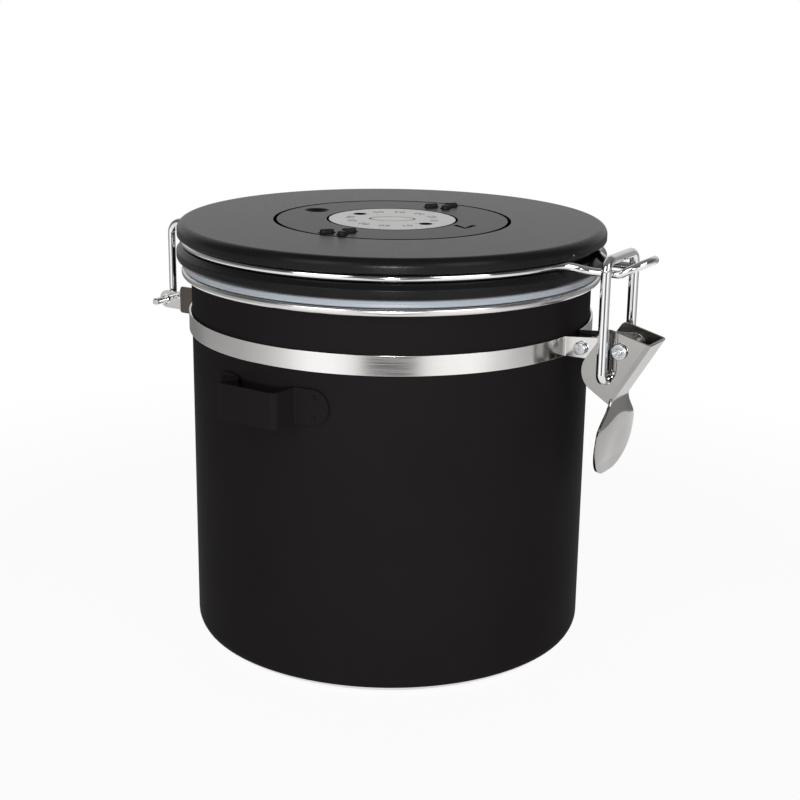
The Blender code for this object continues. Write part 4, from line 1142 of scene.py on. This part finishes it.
@dataclass
class LidWire:
    """One bent wire: rear pins and legs, two arcs in the lid's groove and the front tongue."""
    radius: float = 0.00115
    sides: int = 7
    ring_radius: float = 0.0620
    height: float = 0.12115
    hinge_out: float = 0.0715
    hinge_height: float = 0.0966
    leg_spacing: float = 0.0336
    upper_bend: float = 0.0038
    lower_bend: float = 0.0022
    pin_end: float = 0.02555
    leg_run: float = 0.0060
    leg_join: float = math.radians(25.0)
    tongue_join: float = math.radians(17.0)
    tongue_half: float = 0.0063
    root_flare: float = 0.0006
    dip: float = 0.00145
    rise: float = 0.0037
    dip_run: float = 0.0012
    root_run: float = 0.0085
    lift_run: float = 0.0150
    tip_run: float = 0.0218
    handle_share: float = 0.42
    arc_steps: int = 72
    tongue_steps: int = 8
    tip_steps: int = 16
    end_edge: float = 0.0002

    def tongue_height(self, out: float) -> float:
        """Height of the wire's middle along the tongue: a dip for the hoop, then a rise.

        Args:
            out: Distance from the canister's axis.

        Returns:
            The height.
        """
        run = out - self.ring_radius
        dip = min(max((run - self.dip_run) / (self.root_run - self.dip_run), 0), 1)
        lift = min(max((run - self.lift_run) / (self.tip_run - self.lift_run), 0), 1)
        return self.height - self.dip * math.sin(dip * math.pi / 2) + self.rise * lift

    def blend(self, start: Vector, start_way: Vector, end: Vector, end_way: Vector) -> list[Vector]:
        """Smooth stretch of wire between two places.

        Args:
            start: First place.
            start_way: Direction of the wire there.
            end: Last place.
            end_way: Direction of the wire there.

        Returns:
            The points of the stretch, with both places.
        """
        reach = (end - start).length * self.handle_share
        return interpolate_bezier(start, start + start_way * reach, end - end_way * reach, end, BLEND_POINTS)

    def tongue(self, start: Vector, way: Vector) -> list[Vector]:
        """Half of the front tongue, from the ring to the middle of its tip.

        Args:
            start: End of the ring.
            way: Direction of the wire there.

        Returns:
            The points of the half tongue.
        """
        root = Vector((self.tongue_half + self.root_flare, -self.ring_radius - self.root_run, self.height))
        centre = self.ring_radius + self.tip_run - self.tongue_half
        shoulder = Vector((self.tongue_half, -centre, self.height))
        line = self.blend(start, way, root, (shoulder - root).normalized())
        line += [root.lerp(shoulder, step / self.tongue_steps) for step in range(1, self.tongue_steps + 1)]
        for step in range(1, self.tip_steps + 1):
            angle = math.pi / 2 * step / self.tip_steps
            line.append(Vector((self.tongue_half * math.cos(angle),
                                -centre - self.tongue_half * math.sin(angle), 0)))
        for point in line:
            point.z = self.tongue_height(-point.y)
        return line

    def build(self) -> None:
        """Bend the wire."""
        half = self.leg_spacing / 2
        foot = Vector((half, self.hinge_out, self.hinge_height))
        head = Vector((half, self.hinge_out, self.height))
        inner = Vector((half, self.hinge_out - self.leg_run, self.height))
        pin = Vector((self.pin_end, self.hinge_out, self.hinge_height))
        side = fillet([(pin, 0), (foot, self.lower_bend), (head, self.upper_bend), (inner, 0)],
                      closed=False, points=BEND_POINTS)[:-1]
        start = math.pi - self.leg_join
        ring = [point.to_3d() + Vector((0, 0, self.height))
                for point in plan_arc(self.ring_radius, start, self.tongue_join, self.arc_steps)]
        leave = Vector((-math.cos(start), -math.sin(start), 0))
        side += self.blend(inner, Vector((0, -1, 0)), ring[0], leave) + ring[1:-1]
        arrive = Vector((-math.cos(self.tongue_join), -math.sin(self.tongue_join), 0))
        side += self.tongue(ring[-1], arrive)
        wire = Bench.wire("lid_wire_bent", mirrored(side), self.radius, self.sides)
        Bench.soften(wire, self.end_edge)
        deliver(wire, Body.LID, (CHROME,), ("lid_wire",))


@dataclass
class Lid:
    """Moulded lid: base with its plug, gasket, cover with the dial's well, and screws."""
    foot: float = 0.1154
    flange_top: float = 0.1198
    flange_radius: float = 0.0642
    flange_top_radius: float = 0.0626
    flange_chamfer: float = 0.0015
    flange_round: float = 0.0012
    plug_radius: float = 0.0540
    plug_round: float = 0.0010
    plug_floor_round: float = 0.0008
    plug_wall: float = 0.0016
    plug_foot: float = 0.1075
    plug_floor_top: float = 0.1090
    valve_hole: float = 0.0103
    gasket_radius: float = 0.0627
    gasket_foot: float = 0.1132
    gasket_thickness: float = 0.0020
    gasket_lip: float = 0.0018
    gasket_lip_depth: float = 0.0017
    gasket_waist: float = 0.0002
    groove_radius: float = 0.0604
    cover_foot: float = 0.1225
    cover_radius: float = 0.0640
    top: float = 0.1266
    top_round: float = 0.0024
    skirt_wall: float = 0.0020
    plate: float = 0.0018
    well_radius: float = 0.0355
    well_floor_top: float = 0.1234
    well_floor: float = 0.0016
    well_wall: float = 0.0018
    well_edge: float = 0.00015
    stem_hole: float = 0.0045
    screw_circle: float = 0.0465
    screw_radius: float = 0.0014
    screw_length: float = 0.0090
    screw_head: float = 0.0028
    screw_head_height: float = 0.0015
    screw_head_round: float = 0.0007
    screw_point: float = 0.0014
    recess_reach: float = 0.0015
    recess_half: float = 0.0003
    recess_depth: float = 0.0009
    boss_radius: float = 0.0034

    def build(self) -> None:
        """Build the lid's moulded pieces and its screws."""
        self.base()
        self.gasket()
        self.cover()
        self.screws()

    def screw_places(self) -> list[Vector]:
        """Plan places of the four screws."""
        return plan_arc(self.screw_circle, math.pi / 4, math.pi / 4 + math.tau, 4)[:4]

    def base(self) -> None:
        """Flange above the rim, and the plug that reaches into the neck."""
        inner = self.plug_radius - self.plug_wall
        profile = outline([
            (self.flange_top_radius, self.flange_top, SMALL_ROUND),
            (self.flange_radius, self.flange_top - self.flange_chamfer, ROUND),
            (self.flange_radius, self.foot, self.flange_round),
            (self.plug_radius, self.foot, 0),
            (self.plug_radius, self.plug_foot, self.plug_round),
            (self.valve_hole, self.plug_foot, SMALL_ROUND),
            (self.valve_hole, self.plug_floor_top, EDGE),
            (inner, self.plug_floor_top, self.plug_floor_round),
            (inner, self.flange_top, SMALL_ROUND),
        ])
        base = Bench.turn("lid_base_moulded", profile, CUP_FACETS)
        for place in self.screw_places():
            middle = Matrix.Translation((place.x, place.y, self.plug_foot))
            hole = Bench.rod("screw_hole", self.screw_radius + FIT_GAP, DRILL_LENGTH, middle, HOLE_FACETS)
            Bench.shape(base, hole, Cut.AWAY)
        deliver(base, Body.LID, (LID_PLASTIC,), ("lid_base",))

    def gasket(self) -> None:
        """Silicone ring with a lip round the plug."""
        bore = self.plug_radius + FIT_GAP
        top = self.gasket_foot + self.gasket_thickness
        middle = (self.gasket_foot + top) / 2
        lip = bore + self.gasket_lip
        lip_foot = self.gasket_foot - self.gasket_lip_depth
        profile = outline([
            (self.gasket_radius, top, WIDE_ROUND), (self.gasket_radius - self.gasket_waist, middle, EDGE),
            (self.gasket_radius, self.gasket_foot, WIDE_ROUND), (lip, self.gasket_foot, SMALL_ROUND),
            (lip, lip_foot, MOULD_ROUND), (bore, lip_foot, SMALL_ROUND), (bore, top, EDGE),
        ])
        gasket = Bench.turn("seal_ring", profile, RING_FACETS)
        deliver(gasket, Body.LID, (SILICONE,), ("lid_gasket",))

    def cover(self) -> None:
        """Top of the lid, with the well and the screw bosses."""
        ceiling = self.top - self.plate
        well_out = self.well_radius + self.well_wall
        floor_foot = self.well_floor_top - self.well_floor
        skirt_foot = self.flange_top + FIT_GAP
        skirt_inner = self.groove_radius - self.skirt_wall
        profile = outline([
            (self.well_radius, self.top, self.well_edge),
            (self.cover_radius, self.top, self.top_round),
            (self.cover_radius, self.cover_foot, SMALL_ROUND),
            (self.groove_radius, self.cover_foot, SMALL_ROUND),
            (self.groove_radius, skirt_foot, 0),
            (skirt_inner, skirt_foot, 0),
            (skirt_inner, ceiling, MOULD_ROUND),
            (well_out, ceiling, MOULD_ROUND),
            (well_out, floor_foot, ROUND),
            (self.stem_hole, floor_foot, 0),
            (self.stem_hole, self.well_floor_top, EDGE),
            (self.well_radius, self.well_floor_top, EDGE),
        ], points=COVER_ROUND_POINTS)
        cover = Bench.turn("lid_cover_moulded", profile, CUP_FACETS)
        boss_foot = self.plug_floor_top + FIT_GAP
        boss_top = self.top - self.plate / 2
        bore_top = self.plug_foot + self.screw_length + FIT_GAP
        for place in self.screw_places():
            middle = Matrix.Translation((place.x, place.y, (boss_foot + boss_top) / 2))
            Bench.shape(cover, Bench.rod("boss", self.boss_radius, boss_top - boss_foot, middle), Cut.ADD)
            low = boss_foot - OVERRUN
            middle = Matrix.Translation((place.x, place.y, (low + bore_top) / 2))
            bore = Bench.rod("bore", self.screw_radius + FIT_GAP, bore_top - low, middle, HOLE_FACETS)
            Bench.shape(cover, bore, Cut.AWAY)
        # The well's wall is painted black as painted shade
        for face in cover.data.polygons:
            near = abs(face.center.xy.length - self.well_radius) < 2 * HAIR
            wall = near and abs(face.normal.z) < STEEP_NORMAL
            face.material_index = 1 if wall and face.center.z > self.well_floor_top else 0
        deliver(cover, Body.LID, (LID_PLASTIC, PAINTED_SHADE_BLACK), ("lid_cover",))

    def screws(self) -> None:
        """Pan-head screws with a cross recess, modelled once and copied."""
        head_top = -FIT_GAP
        foot = head_top - self.screw_head_height
        profile = outline([
            (0, foot, 0),
            (self.screw_head, foot, self.screw_head_round),
            (self.screw_head, head_top, FINE_EDGE),
            (self.screw_radius, head_top, 0),
            (self.screw_radius, self.screw_length - self.screw_point, EDGE),
            (0, self.screw_length, 0),
        ], closed=False)
        screw = Bench.turn("lid_screw_turned", profile, PIN_FACETS)
        blade = bar(self.recess_reach, self.recess_half)
        for angle in (math.pi / 4, -math.pi / 4):
            place = Matrix.Translation((0, 0, foot)) @ Matrix.Rotation(angle, 4, 'Z')
            Bench.shape(screw, Bench.plate("recess", blade, 2 * self.recess_depth, place), Cut.AWAY)
        for index, place in enumerate(self.screw_places(), start=1):
            there = Matrix.Translation((place.x, place.y, self.plug_foot))
            piece = Bench.copy(screw, f"lid_screw_cut_{index}", there)
            deliver(piece, Body.LID, (ZINC,), (f"lid_screw_{index}",))
        bpy.data.objects.remove(screw, do_unlink=True)


@dataclass
class DateDial:
    """Dial in the lid's well: outer ring with dimple and grips, and inner disc with numbers."""
    top: float = 0.1266
    floor: float = 0.1237
    ring_radius: float = 0.0349
    ring_round: float = 0.0006
    ring_bore: float = 0.0196
    lip_bore: float = 0.0155
    lip: float = 0.0009
    dimple_circle: float = 0.0274
    dimple_radius: float = 0.0039
    dimple_depth: float = 0.0014
    ball_sides: int = 72
    ball_rings: int = 96
    grip_circle: float = 0.0289
    grip_turn: float = math.radians(-41.0)
    grip_spacing: float = 0.0065
    grip_length: float = 0.0042
    grip_width: float = 0.0020
    grip_rise: float = 0.0011
    grip_segments: int = 5
    nub_radius: float = 0.0013
    nub_drop: float = 0.0042
    seat_gap: float = 0.0005
    seat_depth: float = 0.0006
    chevron: tuple[tuple[float, float], ...] = ((0.0013, -0.0208), (-0.0016, -0.0259), (0.0044, -0.0257))
    chevron_width: float = 0.00095
    chevron_rise_share: float = 0.2
    chevron_sides: int = 4
    disc_radius: float = 0.0192
    disc_thickness: float = 0.0017
    disc_chamfer: float = 0.0003
    hole_circle: float = 0.0129
    hole_radius: float = 0.0020
    notch_reach: float = 0.0029
    notch_half: float = 0.0005
    mark_turn: float = math.radians(-58.0)
    disc_turn: float = math.radians(-8.3)
    stem_radius: float = 0.0042
    neck_radius: float = 0.0032
    neck_height: float = 0.0012
    stem_end: float = 0.0008
    well_floor_foot: float = 0.1218
    slots: int = 12
    number_size: float = 0.0036
    number_steps: int = 3
    oval_length: float = 0.0140
    oval_width: float = 0.0082
    oval_line: float = 0.0006
    oval_depth: float = 0.0004
    oval_steps: int = 72

    def build(self) -> None:
        """Build the dial's pieces."""
        self.ring()
        self.grips()
        self.disc()
        self.numbers()

    def ring(self) -> None:
        """Outer ring, with its dimple, its engraved arrow and the seats of the grips."""
        lip_top = self.floor + self.lip
        profile = outline([
            (self.ring_radius, self.top, self.ring_round), (self.ring_radius, self.floor, EDGE),
            (self.lip_bore, self.floor, EDGE), (self.lip_bore, lip_top, EDGE),
            (self.ring_bore, lip_top, FINE_EDGE), (self.ring_bore, self.top, EDGE),
        ])
        ring = Bench.turn("dial_ring", profile, RING_FACETS)
        ball = (self.dimple_radius ** 2 + self.dimple_depth ** 2) / (2 * self.dimple_depth)
        Bench.rest()
        bpy.ops.mesh.primitive_uv_sphere_add(segments=self.ball_sides, ring_count=self.ball_rings,
                                             radius=ball)
        place = Matrix.Translation((0, self.dimple_circle, self.top + ball - self.dimple_depth))
        Bench.shape(ring, Bench.put(bpy.context.object, place), Cut.AWAY)
        height = self.top + self.chevron_width * self.chevron_rise_share
        path = [Vector((across, along, height)) for across, along in self.chevron]
        Bench.shape(ring, Bench.wire("arrow", path, self.chevron_width, self.chevron_sides), Cut.AWAY)
        for line, places in self.grip_shapes(self.seat_gap):
            for place in places:
                Bench.shape(ring, Bench.plate("seat", line, 2 * self.seat_depth, place), Cut.AWAY)
        # The arrow's groove and the ring's outer round and inner walls are painted black as painted shade
        for face in ring.data.polygons:
            near = min(self.stray(face.center, *ends) for ends in zip(path, path[1:]))
            arrow = near < self.chevron_width + HAIR and face.center.z < self.top - HAIR
            out = face.center.xy.length
            edge = out > self.ring_radius - self.ring_round or out < self.ring_bore + HAIR
            face.material_index = 1 if arrow or (edge and face.normal.z < LEVEL_NORMAL) else 0
        deliver(ring, Body.DATE_RING, (DIAL_PLASTIC, PAINTED_SHADE_BLACK), ("date_ring",))

    @staticmethod
    def stray(point: Vector, start: Vector, end: Vector) -> float:
        """Distance of a point from the stretch between two others."""
        share = (point - start).dot(end - start) / (end - start).length_squared
        return (point - start.lerp(end, min(max(share, 0.0), 1.0))).length

    def grip_shapes(self, margin: float) -> list[tuple[list[Vector], list[Matrix]]]:
        """Outline of a bar and of a nub, each with the places of its copies.

        Args:
            margin: How far the outlines are grown.

        Returns:
            The bar's outline with its places, and the nub's with its own.
        """
        reach = (self.grip_length - self.grip_width) / 2
        end = self.grip_width / 2 + margin
        middles = [Matrix.Translation((side * self.grip_circle, 0, self.top))
                   @ Matrix.Rotation(self.grip_turn, 4, 'Z') for side in (-1, 1)]
        bars = [middle @ Matrix.Translation((step * self.grip_spacing / 2, 0, 0))
                for middle in middles for step in (-1, 1)]
        nubs = [middle @ Matrix.Translation((0, -self.nub_drop, 0)) for middle in middles]
        nub_line = hull([(0, 0, self.nub_radius + margin)])
        return [(hull([(-reach, 0, end), (reach, 0, end)]), bars), (nub_line, nubs)]

    def grips(self) -> None:
        """Two sets of raised grips, each of two bars and a round nub."""
        pieces = []
        for line, places in self.grip_shapes(0.0):
            grip = Bench.plate("grip", line, 2 * self.grip_rise, Matrix.Identity(4))
            Bench.soften(grip, self.grip_rise / 2, self.grip_segments)
            pieces += [Bench.copy(grip, "grip_bars", place) for place in places]
            bpy.data.objects.remove(grip, do_unlink=True)
        grips = Bench.join(pieces)
        grips.name = grips.data.name = "grip_bars"
        deliver(grips, Body.DATE_RING, (GRIP_RUBBER,))

    def disc(self) -> None:
        """Inner disc with a chamfered rim, two notched holes and an engraved oval."""
        foot = self.floor + self.lip + FIT_GAP
        top = foot + self.disc_thickness
        neck_top = self.well_floor_foot - FIT_GAP
        neck_foot = neck_top - self.neck_height
        stem_foot = neck_foot - self.stem_end
        profile = outline([
            (0, top, 0), (self.disc_radius - self.disc_chamfer, top, FINE_EDGE),
            (self.disc_radius, top - self.disc_chamfer, FINE_EDGE),
            (self.disc_radius, foot, FINE_EDGE), (self.stem_radius, foot, 0),
            (self.stem_radius, neck_top, 0), (self.neck_radius, neck_top, 0),
            (self.neck_radius, neck_foot, 0), (self.stem_radius, neck_foot, 0),
            (self.stem_radius, stem_foot, SMALL_ROUND), (0, stem_foot, 0),
        ], closed=False)
        disc = Bench.turn("dial_disc", profile, DISC_FACETS)
        reach = self.hole_radius + self.notch_reach / 2
        notch = outline([(-reach, 0, 0), (0, -self.notch_half, 0), (reach, 0, 0), (0, self.notch_half, 0)])
        hole = hull([(0, 0, self.hole_radius)])
        for side in (0, math.pi):
            middle = Matrix.Rotation(self.disc_turn + side, 4, 'Z') @ Vector((0, -self.hole_circle, top))
            place = Matrix.Translation(middle) @ Matrix.Rotation(self.mark_turn, 4, 'Z')
            for line in (hole, notch):
                tool = Bench.plate("reading_hole", line, 2 * self.disc_thickness + OVERRUN, place)
                Bench.shape(disc, tool, Cut.AWAY)
        place = Matrix.Translation((0, 0, top)) @ Matrix.Rotation(self.mark_turn, 4, 'Z')
        band = Bench.plate("oval", self.oval(0.0), 2 * self.oval_depth, place)
        core = Bench.plate("oval_core", self.oval(self.oval_line), 4 * self.oval_depth, place)
        Bench.shape(band, core, Cut.AWAY)
        Bench.shape(disc, band, Cut.AWAY)
        # The hole walls and the rim's chamfer and side are painted black as painted shade; the oval groove's
        # walls and floor are painted grey as painted shade
        for face in disc.data.polygons:
            out, up = face.center.xy.length, face.center.z
            if face.normal.z < LEVEL_NORMAL and up < top - HAIR / 2:
                face.material_index = 2 if out < self.oval_length / 2 + HAIR and up > foot else 1
            elif up < top - HAIR and out < self.oval_length / 2:
                face.material_index = 2
        deliver(disc, Body.MONTH_DISC, (SILVER, PAINTED_SHADE_BLACK, GREY_INK_AND_SHADE), ("month_disc",))

    def oval(self, inset: float) -> list[Vector]:
        """Oval outline in the disc's middle.

        Args:
            inset: How far the outline is drawn in.

        Returns:
            The points of the outline.
        """
        length = self.oval_length / 2 - inset
        width = self.oval_width / 2 - inset
        turns = [math.tau * step / self.oval_steps for step in range(self.oval_steps)]
        return [Vector((length * math.cos(turn), width * math.sin(turn))) for turn in turns]

    def numbers(self) -> None:
        """Ten small numbers round the disc, between the two holes."""
        top = self.floor + self.lip + FIT_GAP + self.disc_thickness
        pieces = []
        numbered = [slot for slot in range(self.slots) if slot % (self.slots // 2)]
        for number, slot in enumerate(numbered, start=1):
            turn = self.disc_turn + math.tau * slot / self.slots
            Bench.rest()
            bpy.ops.object.text_add()
            text = bpy.context.object
            text.data.body = f"{number:02d}"
            text.data.size = self.number_size
            text.data.align_x = 'CENTER'
            text.data.align_y = 'CENTER'
            text.data.extrude = HAIR / 2
            text.data.resolution_u = self.number_steps
            bpy.ops.object.convert(target='MESH')
            pieces.append(Bench.put(bpy.context.object, Matrix.Rotation(turn, 4, 'Z')
                                    @ Matrix.Translation((0, -self.hole_circle, top))))
        numbers = Bench.join(pieces)
        numbers.name = numbers.data.name = "dial_numbers"
        deliver(numbers, Body.MONTH_DISC, (GREY_INK_AND_SHADE,))


@dataclass
class GasValve:
    """One-way valve in the plug's floor."""
    hole_radius: float = 0.0103
    flange_radius: float = 0.0130
    flange: float = 0.0010
    wall: float = 0.0013
    barrel_height: float = 0.0045
    plug_foot: float = 0.1075
    vents: int = 6
    vent_radius: float = 0.0012
    vent_circle: float = 0.0050
    stem_hole: float = 0.0012

    def build(self) -> None:
        """Build the seat, and dress the pieces inside the lid."""
        outer = self.hole_radius - FIT_GAP
        flange_top = self.plug_foot - FIT_GAP
        foot = flange_top - self.flange
        floor_top = flange_top + FIT_GAP
        top = floor_top + self.barrel_height
        profile = outline([
            (outer, top, SMALL_ROUND), (outer, flange_top, 0), (self.flange_radius, flange_top, FINE_EDGE),
            (self.flange_radius, foot, WIDE_ROUND), (self.stem_hole, foot, FINE_EDGE),
            (self.stem_hole, floor_top, FINE_EDGE), (outer - self.wall, floor_top, SMALL_ROUND),
            (outer - self.wall, top, SMALL_ROUND),
        ])
        seat = Bench.turn("valve_seat_moulded", profile, VALVE_FACETS)
        for vent in range(self.vents):
            turn = Matrix.Rotation(math.tau * vent / self.vents, 4, 'Z')
            place = turn @ Matrix.Translation((self.vent_circle, 0, foot))
            hole = Bench.rod("vent", self.vent_radius, DRILL_LENGTH, place, HOLE_FACETS)
            Bench.shape(seat, hole, Cut.AWAY)
        deliver(seat, Body.LID, (LID_PLASTIC,), ("valve_seat",))
        dress_node("valve_cap", LID_PLASTIC)
        dress_node("valve_membrane", SILICONE)
        dress_node("dial_clip", ZINC)
        dress_node("dial_drag_ring", RUBBER)


# Stage


# Strength of the surroundings by the share of a half turn away from the camera's side
LOW_LIGHT = ((0.0, 0.08), (0.03, 0.10), (0.11, 1.0), (0.22, 1.30), (0.33, 0.94), (0.44, 0.60), (0.56, 0.45),
             (0.67, 0.40), (0.78, 0.26), (1.0, 0.22))
SIDE_LIGHT = ((0.0, 0.12), (0.50, 0.12), (0.66, 0.26), (0.80, 0.68), (1.0, 0.72))
TOP_LIGHT = 0.20
# Heights, as sines, between which one strength gives way to the next
HORIZON = (-0.12, 0.05)
ZENITH = (0.55, 0.85)
LAMP_AIM = 0.07
# Name, azimuth from the camera, elevation, distance, width, height and power
LAMPS = (
    ("lamp_left", -38, 25, 1.1, 0.50, 0.70, 3.6),
    ("lamp_right", 38, 25, 1.1, 0.50, 0.70, 3.6),
    ("lamp_spot", 0, 6, 1.1, 0.08, 0.08, 7.0),
)


@dataclass
class Studio:
    """Pale floor, white background, lit surroundings, lamps and the camera."""
    distance: float = 0.451259
    height: float = 0.201063
    lens: float = 68.315
    sensor: float = 36.0
    pitch: float = 0.28231
    yaw: float = 0.0068
    roll: float = 0.0140
    azimuth: float = math.radians(-58)
    clip: tuple[float, float] = (0.01, 20.0)
    floor_radius: float = 0.31
    floor_sides: int = 96
    floor_colour: Colour = (0.82, 0.82, 0.82)
    floor_roughness: float = 0.9
    white_share: float = 0.93
    fade_shares: tuple[float, float] = (0.5, 0.97)

    def build(self) -> None:
        """Set the stage."""
        self.floor()
        self.world()
        self.lamps()
        self.camera()
        bpy.context.scene.view_settings.view_transform = 'Standard'

    def floor(self) -> None:
        """Round pale floor that fades to white and keeps a faint shadow."""
        Bench.rest()
        bpy.ops.mesh.primitive_circle_add(vertices=self.floor_sides, radius=self.floor_radius,
                                          fill_type='NGON')
        floor = bpy.context.object
        floor.name = "floor"
        floor.data.materials.append(self.floor_material())

    def floor_material(self) -> bpy.types.Material:
        """Material that camera and metal see as white, and that keeps a faint shadow near the canister."""
        graph = Graph("floor_white")
        graph.fix(Base_Color=(*self.floor_colour, 1), Roughness=self.floor_roughness, Specular_IOR_Level=0.0)
        lit = graph.add("ShaderNodeEmission")
        path = graph.add("ShaderNodeLightPath")
        either = graph.add("ShaderNodeMath", operation='MAXIMUM')
        graph.links.new(path.outputs["Is Camera Ray"], either.inputs[0])
        graph.links.new(path.outputs["Is Glossy Ray"], either.inputs[1])
        place = graph.add("ShaderNodeTexCoord")
        reach = graph.add("ShaderNodeVectorMath", operation='LENGTH')
        graph.links.new(place.outputs["Object"], reach.inputs[0])
        start, stop = (self.floor_radius * share for share in self.fade_shares)
        fade = graph.spread(reach.outputs["Value"], self.white_share, 1.0, start, stop)
        share = graph.add("ShaderNodeMath", operation='MULTIPLY')
        graph.links.new(either.outputs[0], share.inputs[0])
        graph.links.new(fade, share.inputs[1])
        mix = graph.add("ShaderNodeMixShader")
        graph.links.new(share.outputs[0], mix.inputs[0])
        graph.links.new(graph.shader.outputs[0], mix.inputs[1])
        graph.links.new(lit.outputs[0], mix.inputs[2])
        graph.links.new(mix.outputs[0], graph.nodes["Material Output"].inputs["Surface"])
        return graph.material

    def world(self) -> None:
        """White for the camera. Light and reflections see strengths that change round and up the sky."""
        world = bpy.data.worlds.new("studio")
        bpy.context.scene.world = world
        world.use_nodes = True
        nodes = world.node_tree.nodes
        links = world.node_tree.links

        def calculate(operation: str, first: object, second: object = 0.0) -> bpy.types.NodeSocket:
            """Math node.

            Args:
                operation: Blender's name of the operation.
                first: Socket or number.
                second: Socket or number.

            Returns:
                The socket of the result.
            """
            node = nodes.new("ShaderNodeMath")
            node.operation = operation
            for slot, value in zip(node.inputs, (first, second)):
                if isinstance(value, bpy.types.NodeSocket):
                    links.new(value, slot)
                else:
                    slot.default_value = value
            return node.outputs[0]

        def profile(source: bpy.types.NodeSocket,
                    steps: Sequence[tuple[float, float]]) -> bpy.types.NodeSocket:
            """Strength as a curve.

            Args:
                source: Socket of a value from 0 to 1.
                steps: Points of the curve.

            Returns:
                The socket of the strength.
            """
            node = nodes.new("ShaderNodeFloatCurve")
            links.new(source, node.inputs["Value"])
            points = node.mapping.curves[0].points
            points[0].location = steps[0]
            points[1].location = steps[-1]
            for step in steps[1:-1]:
                points.new(*step)
            node.mapping.update()
            return node.outputs["Value"]

        def blend(rise: tuple[float, float], low: bpy.types.NodeSocket,
                  high: object) -> bpy.types.NodeSocket:
            """Change from one strength to another between two heights of the sky.

            Args:
                rise: The two heights, as sines.
                low: Socket of the lower strength.
                high: Socket or number of the upper strength.

            Returns:
                The socket of the blended strength.
            """
            node = nodes.new("ShaderNodeMapRange")
            node.interpolation_type = 'SMOOTHSTEP'
            node.inputs["From Min"].default_value, node.inputs["From Max"].default_value = rise
            links.new(parts.outputs["Z"], node.inputs["Value"])
            share = node.outputs["Result"]
            rest = calculate('SUBTRACT', 1.0, share)
            return calculate('ADD', calculate('MULTIPLY', share, high), calculate('MULTIPLY', rest, low))

        place = nodes.new("ShaderNodeTexCoord")
        turn = nodes.new("ShaderNodeMapping")
        turn.inputs["Rotation"].default_value = (0, 0, -self.azimuth)
        parts = nodes.new("ShaderNodeSeparateXYZ")
        links.new(place.outputs["Generated"], turn.inputs["Vector"])
        links.new(turn.outputs["Vector"], parts.inputs[0])
        front = calculate('MULTIPLY', parts.outputs["Y"], -1.0)
        angle = calculate('ABSOLUTE', calculate('ARCTAN2', parts.outputs["X"], front))
        share = calculate('DIVIDE', angle, math.pi)
        sky = blend(HORIZON, profile(share, LOW_LIGHT), blend(ZENITH, profile(share, SIDE_LIGHT), TOP_LIGHT))
        path = nodes.new("ShaderNodeLightPath")
        strength = nodes.new("ShaderNodeMix")
        links.new(path.outputs["Is Camera Ray"], strength.inputs[0])
        links.new(sky, strength.inputs[2])
        strength.inputs[3].default_value = 1.0
        background = nodes["Background"]
        background.inputs["Color"].default_value = (1, 1, 1, 1)
        links.new(strength.outputs[0], background.inputs["Strength"])

    def lamps(self) -> None:
        """Two soft lamps beside the camera and a small one at it, aimed at the canister."""
        for name, azimuth, elevation, distance, width, height, power in LAMPS:
            Bench.rest()
            turn = self.azimuth + math.radians(azimuth)
            rise = math.radians(elevation)
            way = Vector((math.sin(turn) * math.cos(rise), -math.cos(turn) * math.cos(rise), math.sin(rise)))
            aim = Vector((0, 0, LAMP_AIM))
            bpy.ops.object.light_add(type='AREA', location=aim + way * distance)
            lamp = bpy.context.object
            lamp.name = name
            lamp.data.shape = 'RECTANGLE'
            lamp.data.size = width
            lamp.data.size_y = height
            lamp.data.energy = power
            lamp.rotation_euler = (-way).to_track_quat('-Z', 'Y').to_euler()

    def camera(self) -> None:
        """Camera at the photograph's place, turned into the frame."""
        level = math.cos(self.pitch)
        forward = Vector((math.sin(self.yaw) * level, math.cos(self.yaw) * level, -math.sin(self.pitch)))
        right = Vector((math.cos(self.yaw), -math.sin(self.yaw), 0))
        up = right.cross(forward)
        tilted = right * math.cos(self.roll) + up * math.sin(self.roll)
        upright = up * math.cos(self.roll) - right * math.sin(self.roll)
        turn = Matrix.Rotation(self.azimuth, 4, 'Z')
        axes = Matrix((tilted, upright, -forward)).transposed().to_4x4()
        Bench.rest()
        bpy.ops.object.camera_add()
        camera = bpy.context.object
        camera.name = "view"
        camera.matrix_world = turn @ Matrix.Translation((0, -self.distance, self.height)) @ axes
        camera.data.lens = self.lens
        camera.data.sensor_width = self.sensor
        camera.data.clip_start, camera.data.clip_end = self.clip
        bpy.context.scene.camera = camera


def main() -> None:
    """Build the canister and its stage."""
    logging.basicConfig(level=logging.INFO, format="%(name)s: %(message)s")
    for assembly in (Cup(), NeckBand(), HingeBracket(), ScoopHolder(), Latch(), LidWire(), Lid(), DateDial(),
                     GasValve(), Studio()):
        log.info("building %s", type(assembly).__name__)
        assembly.build()
    Bench.rest()


if __name__ == "__main__":
    main()
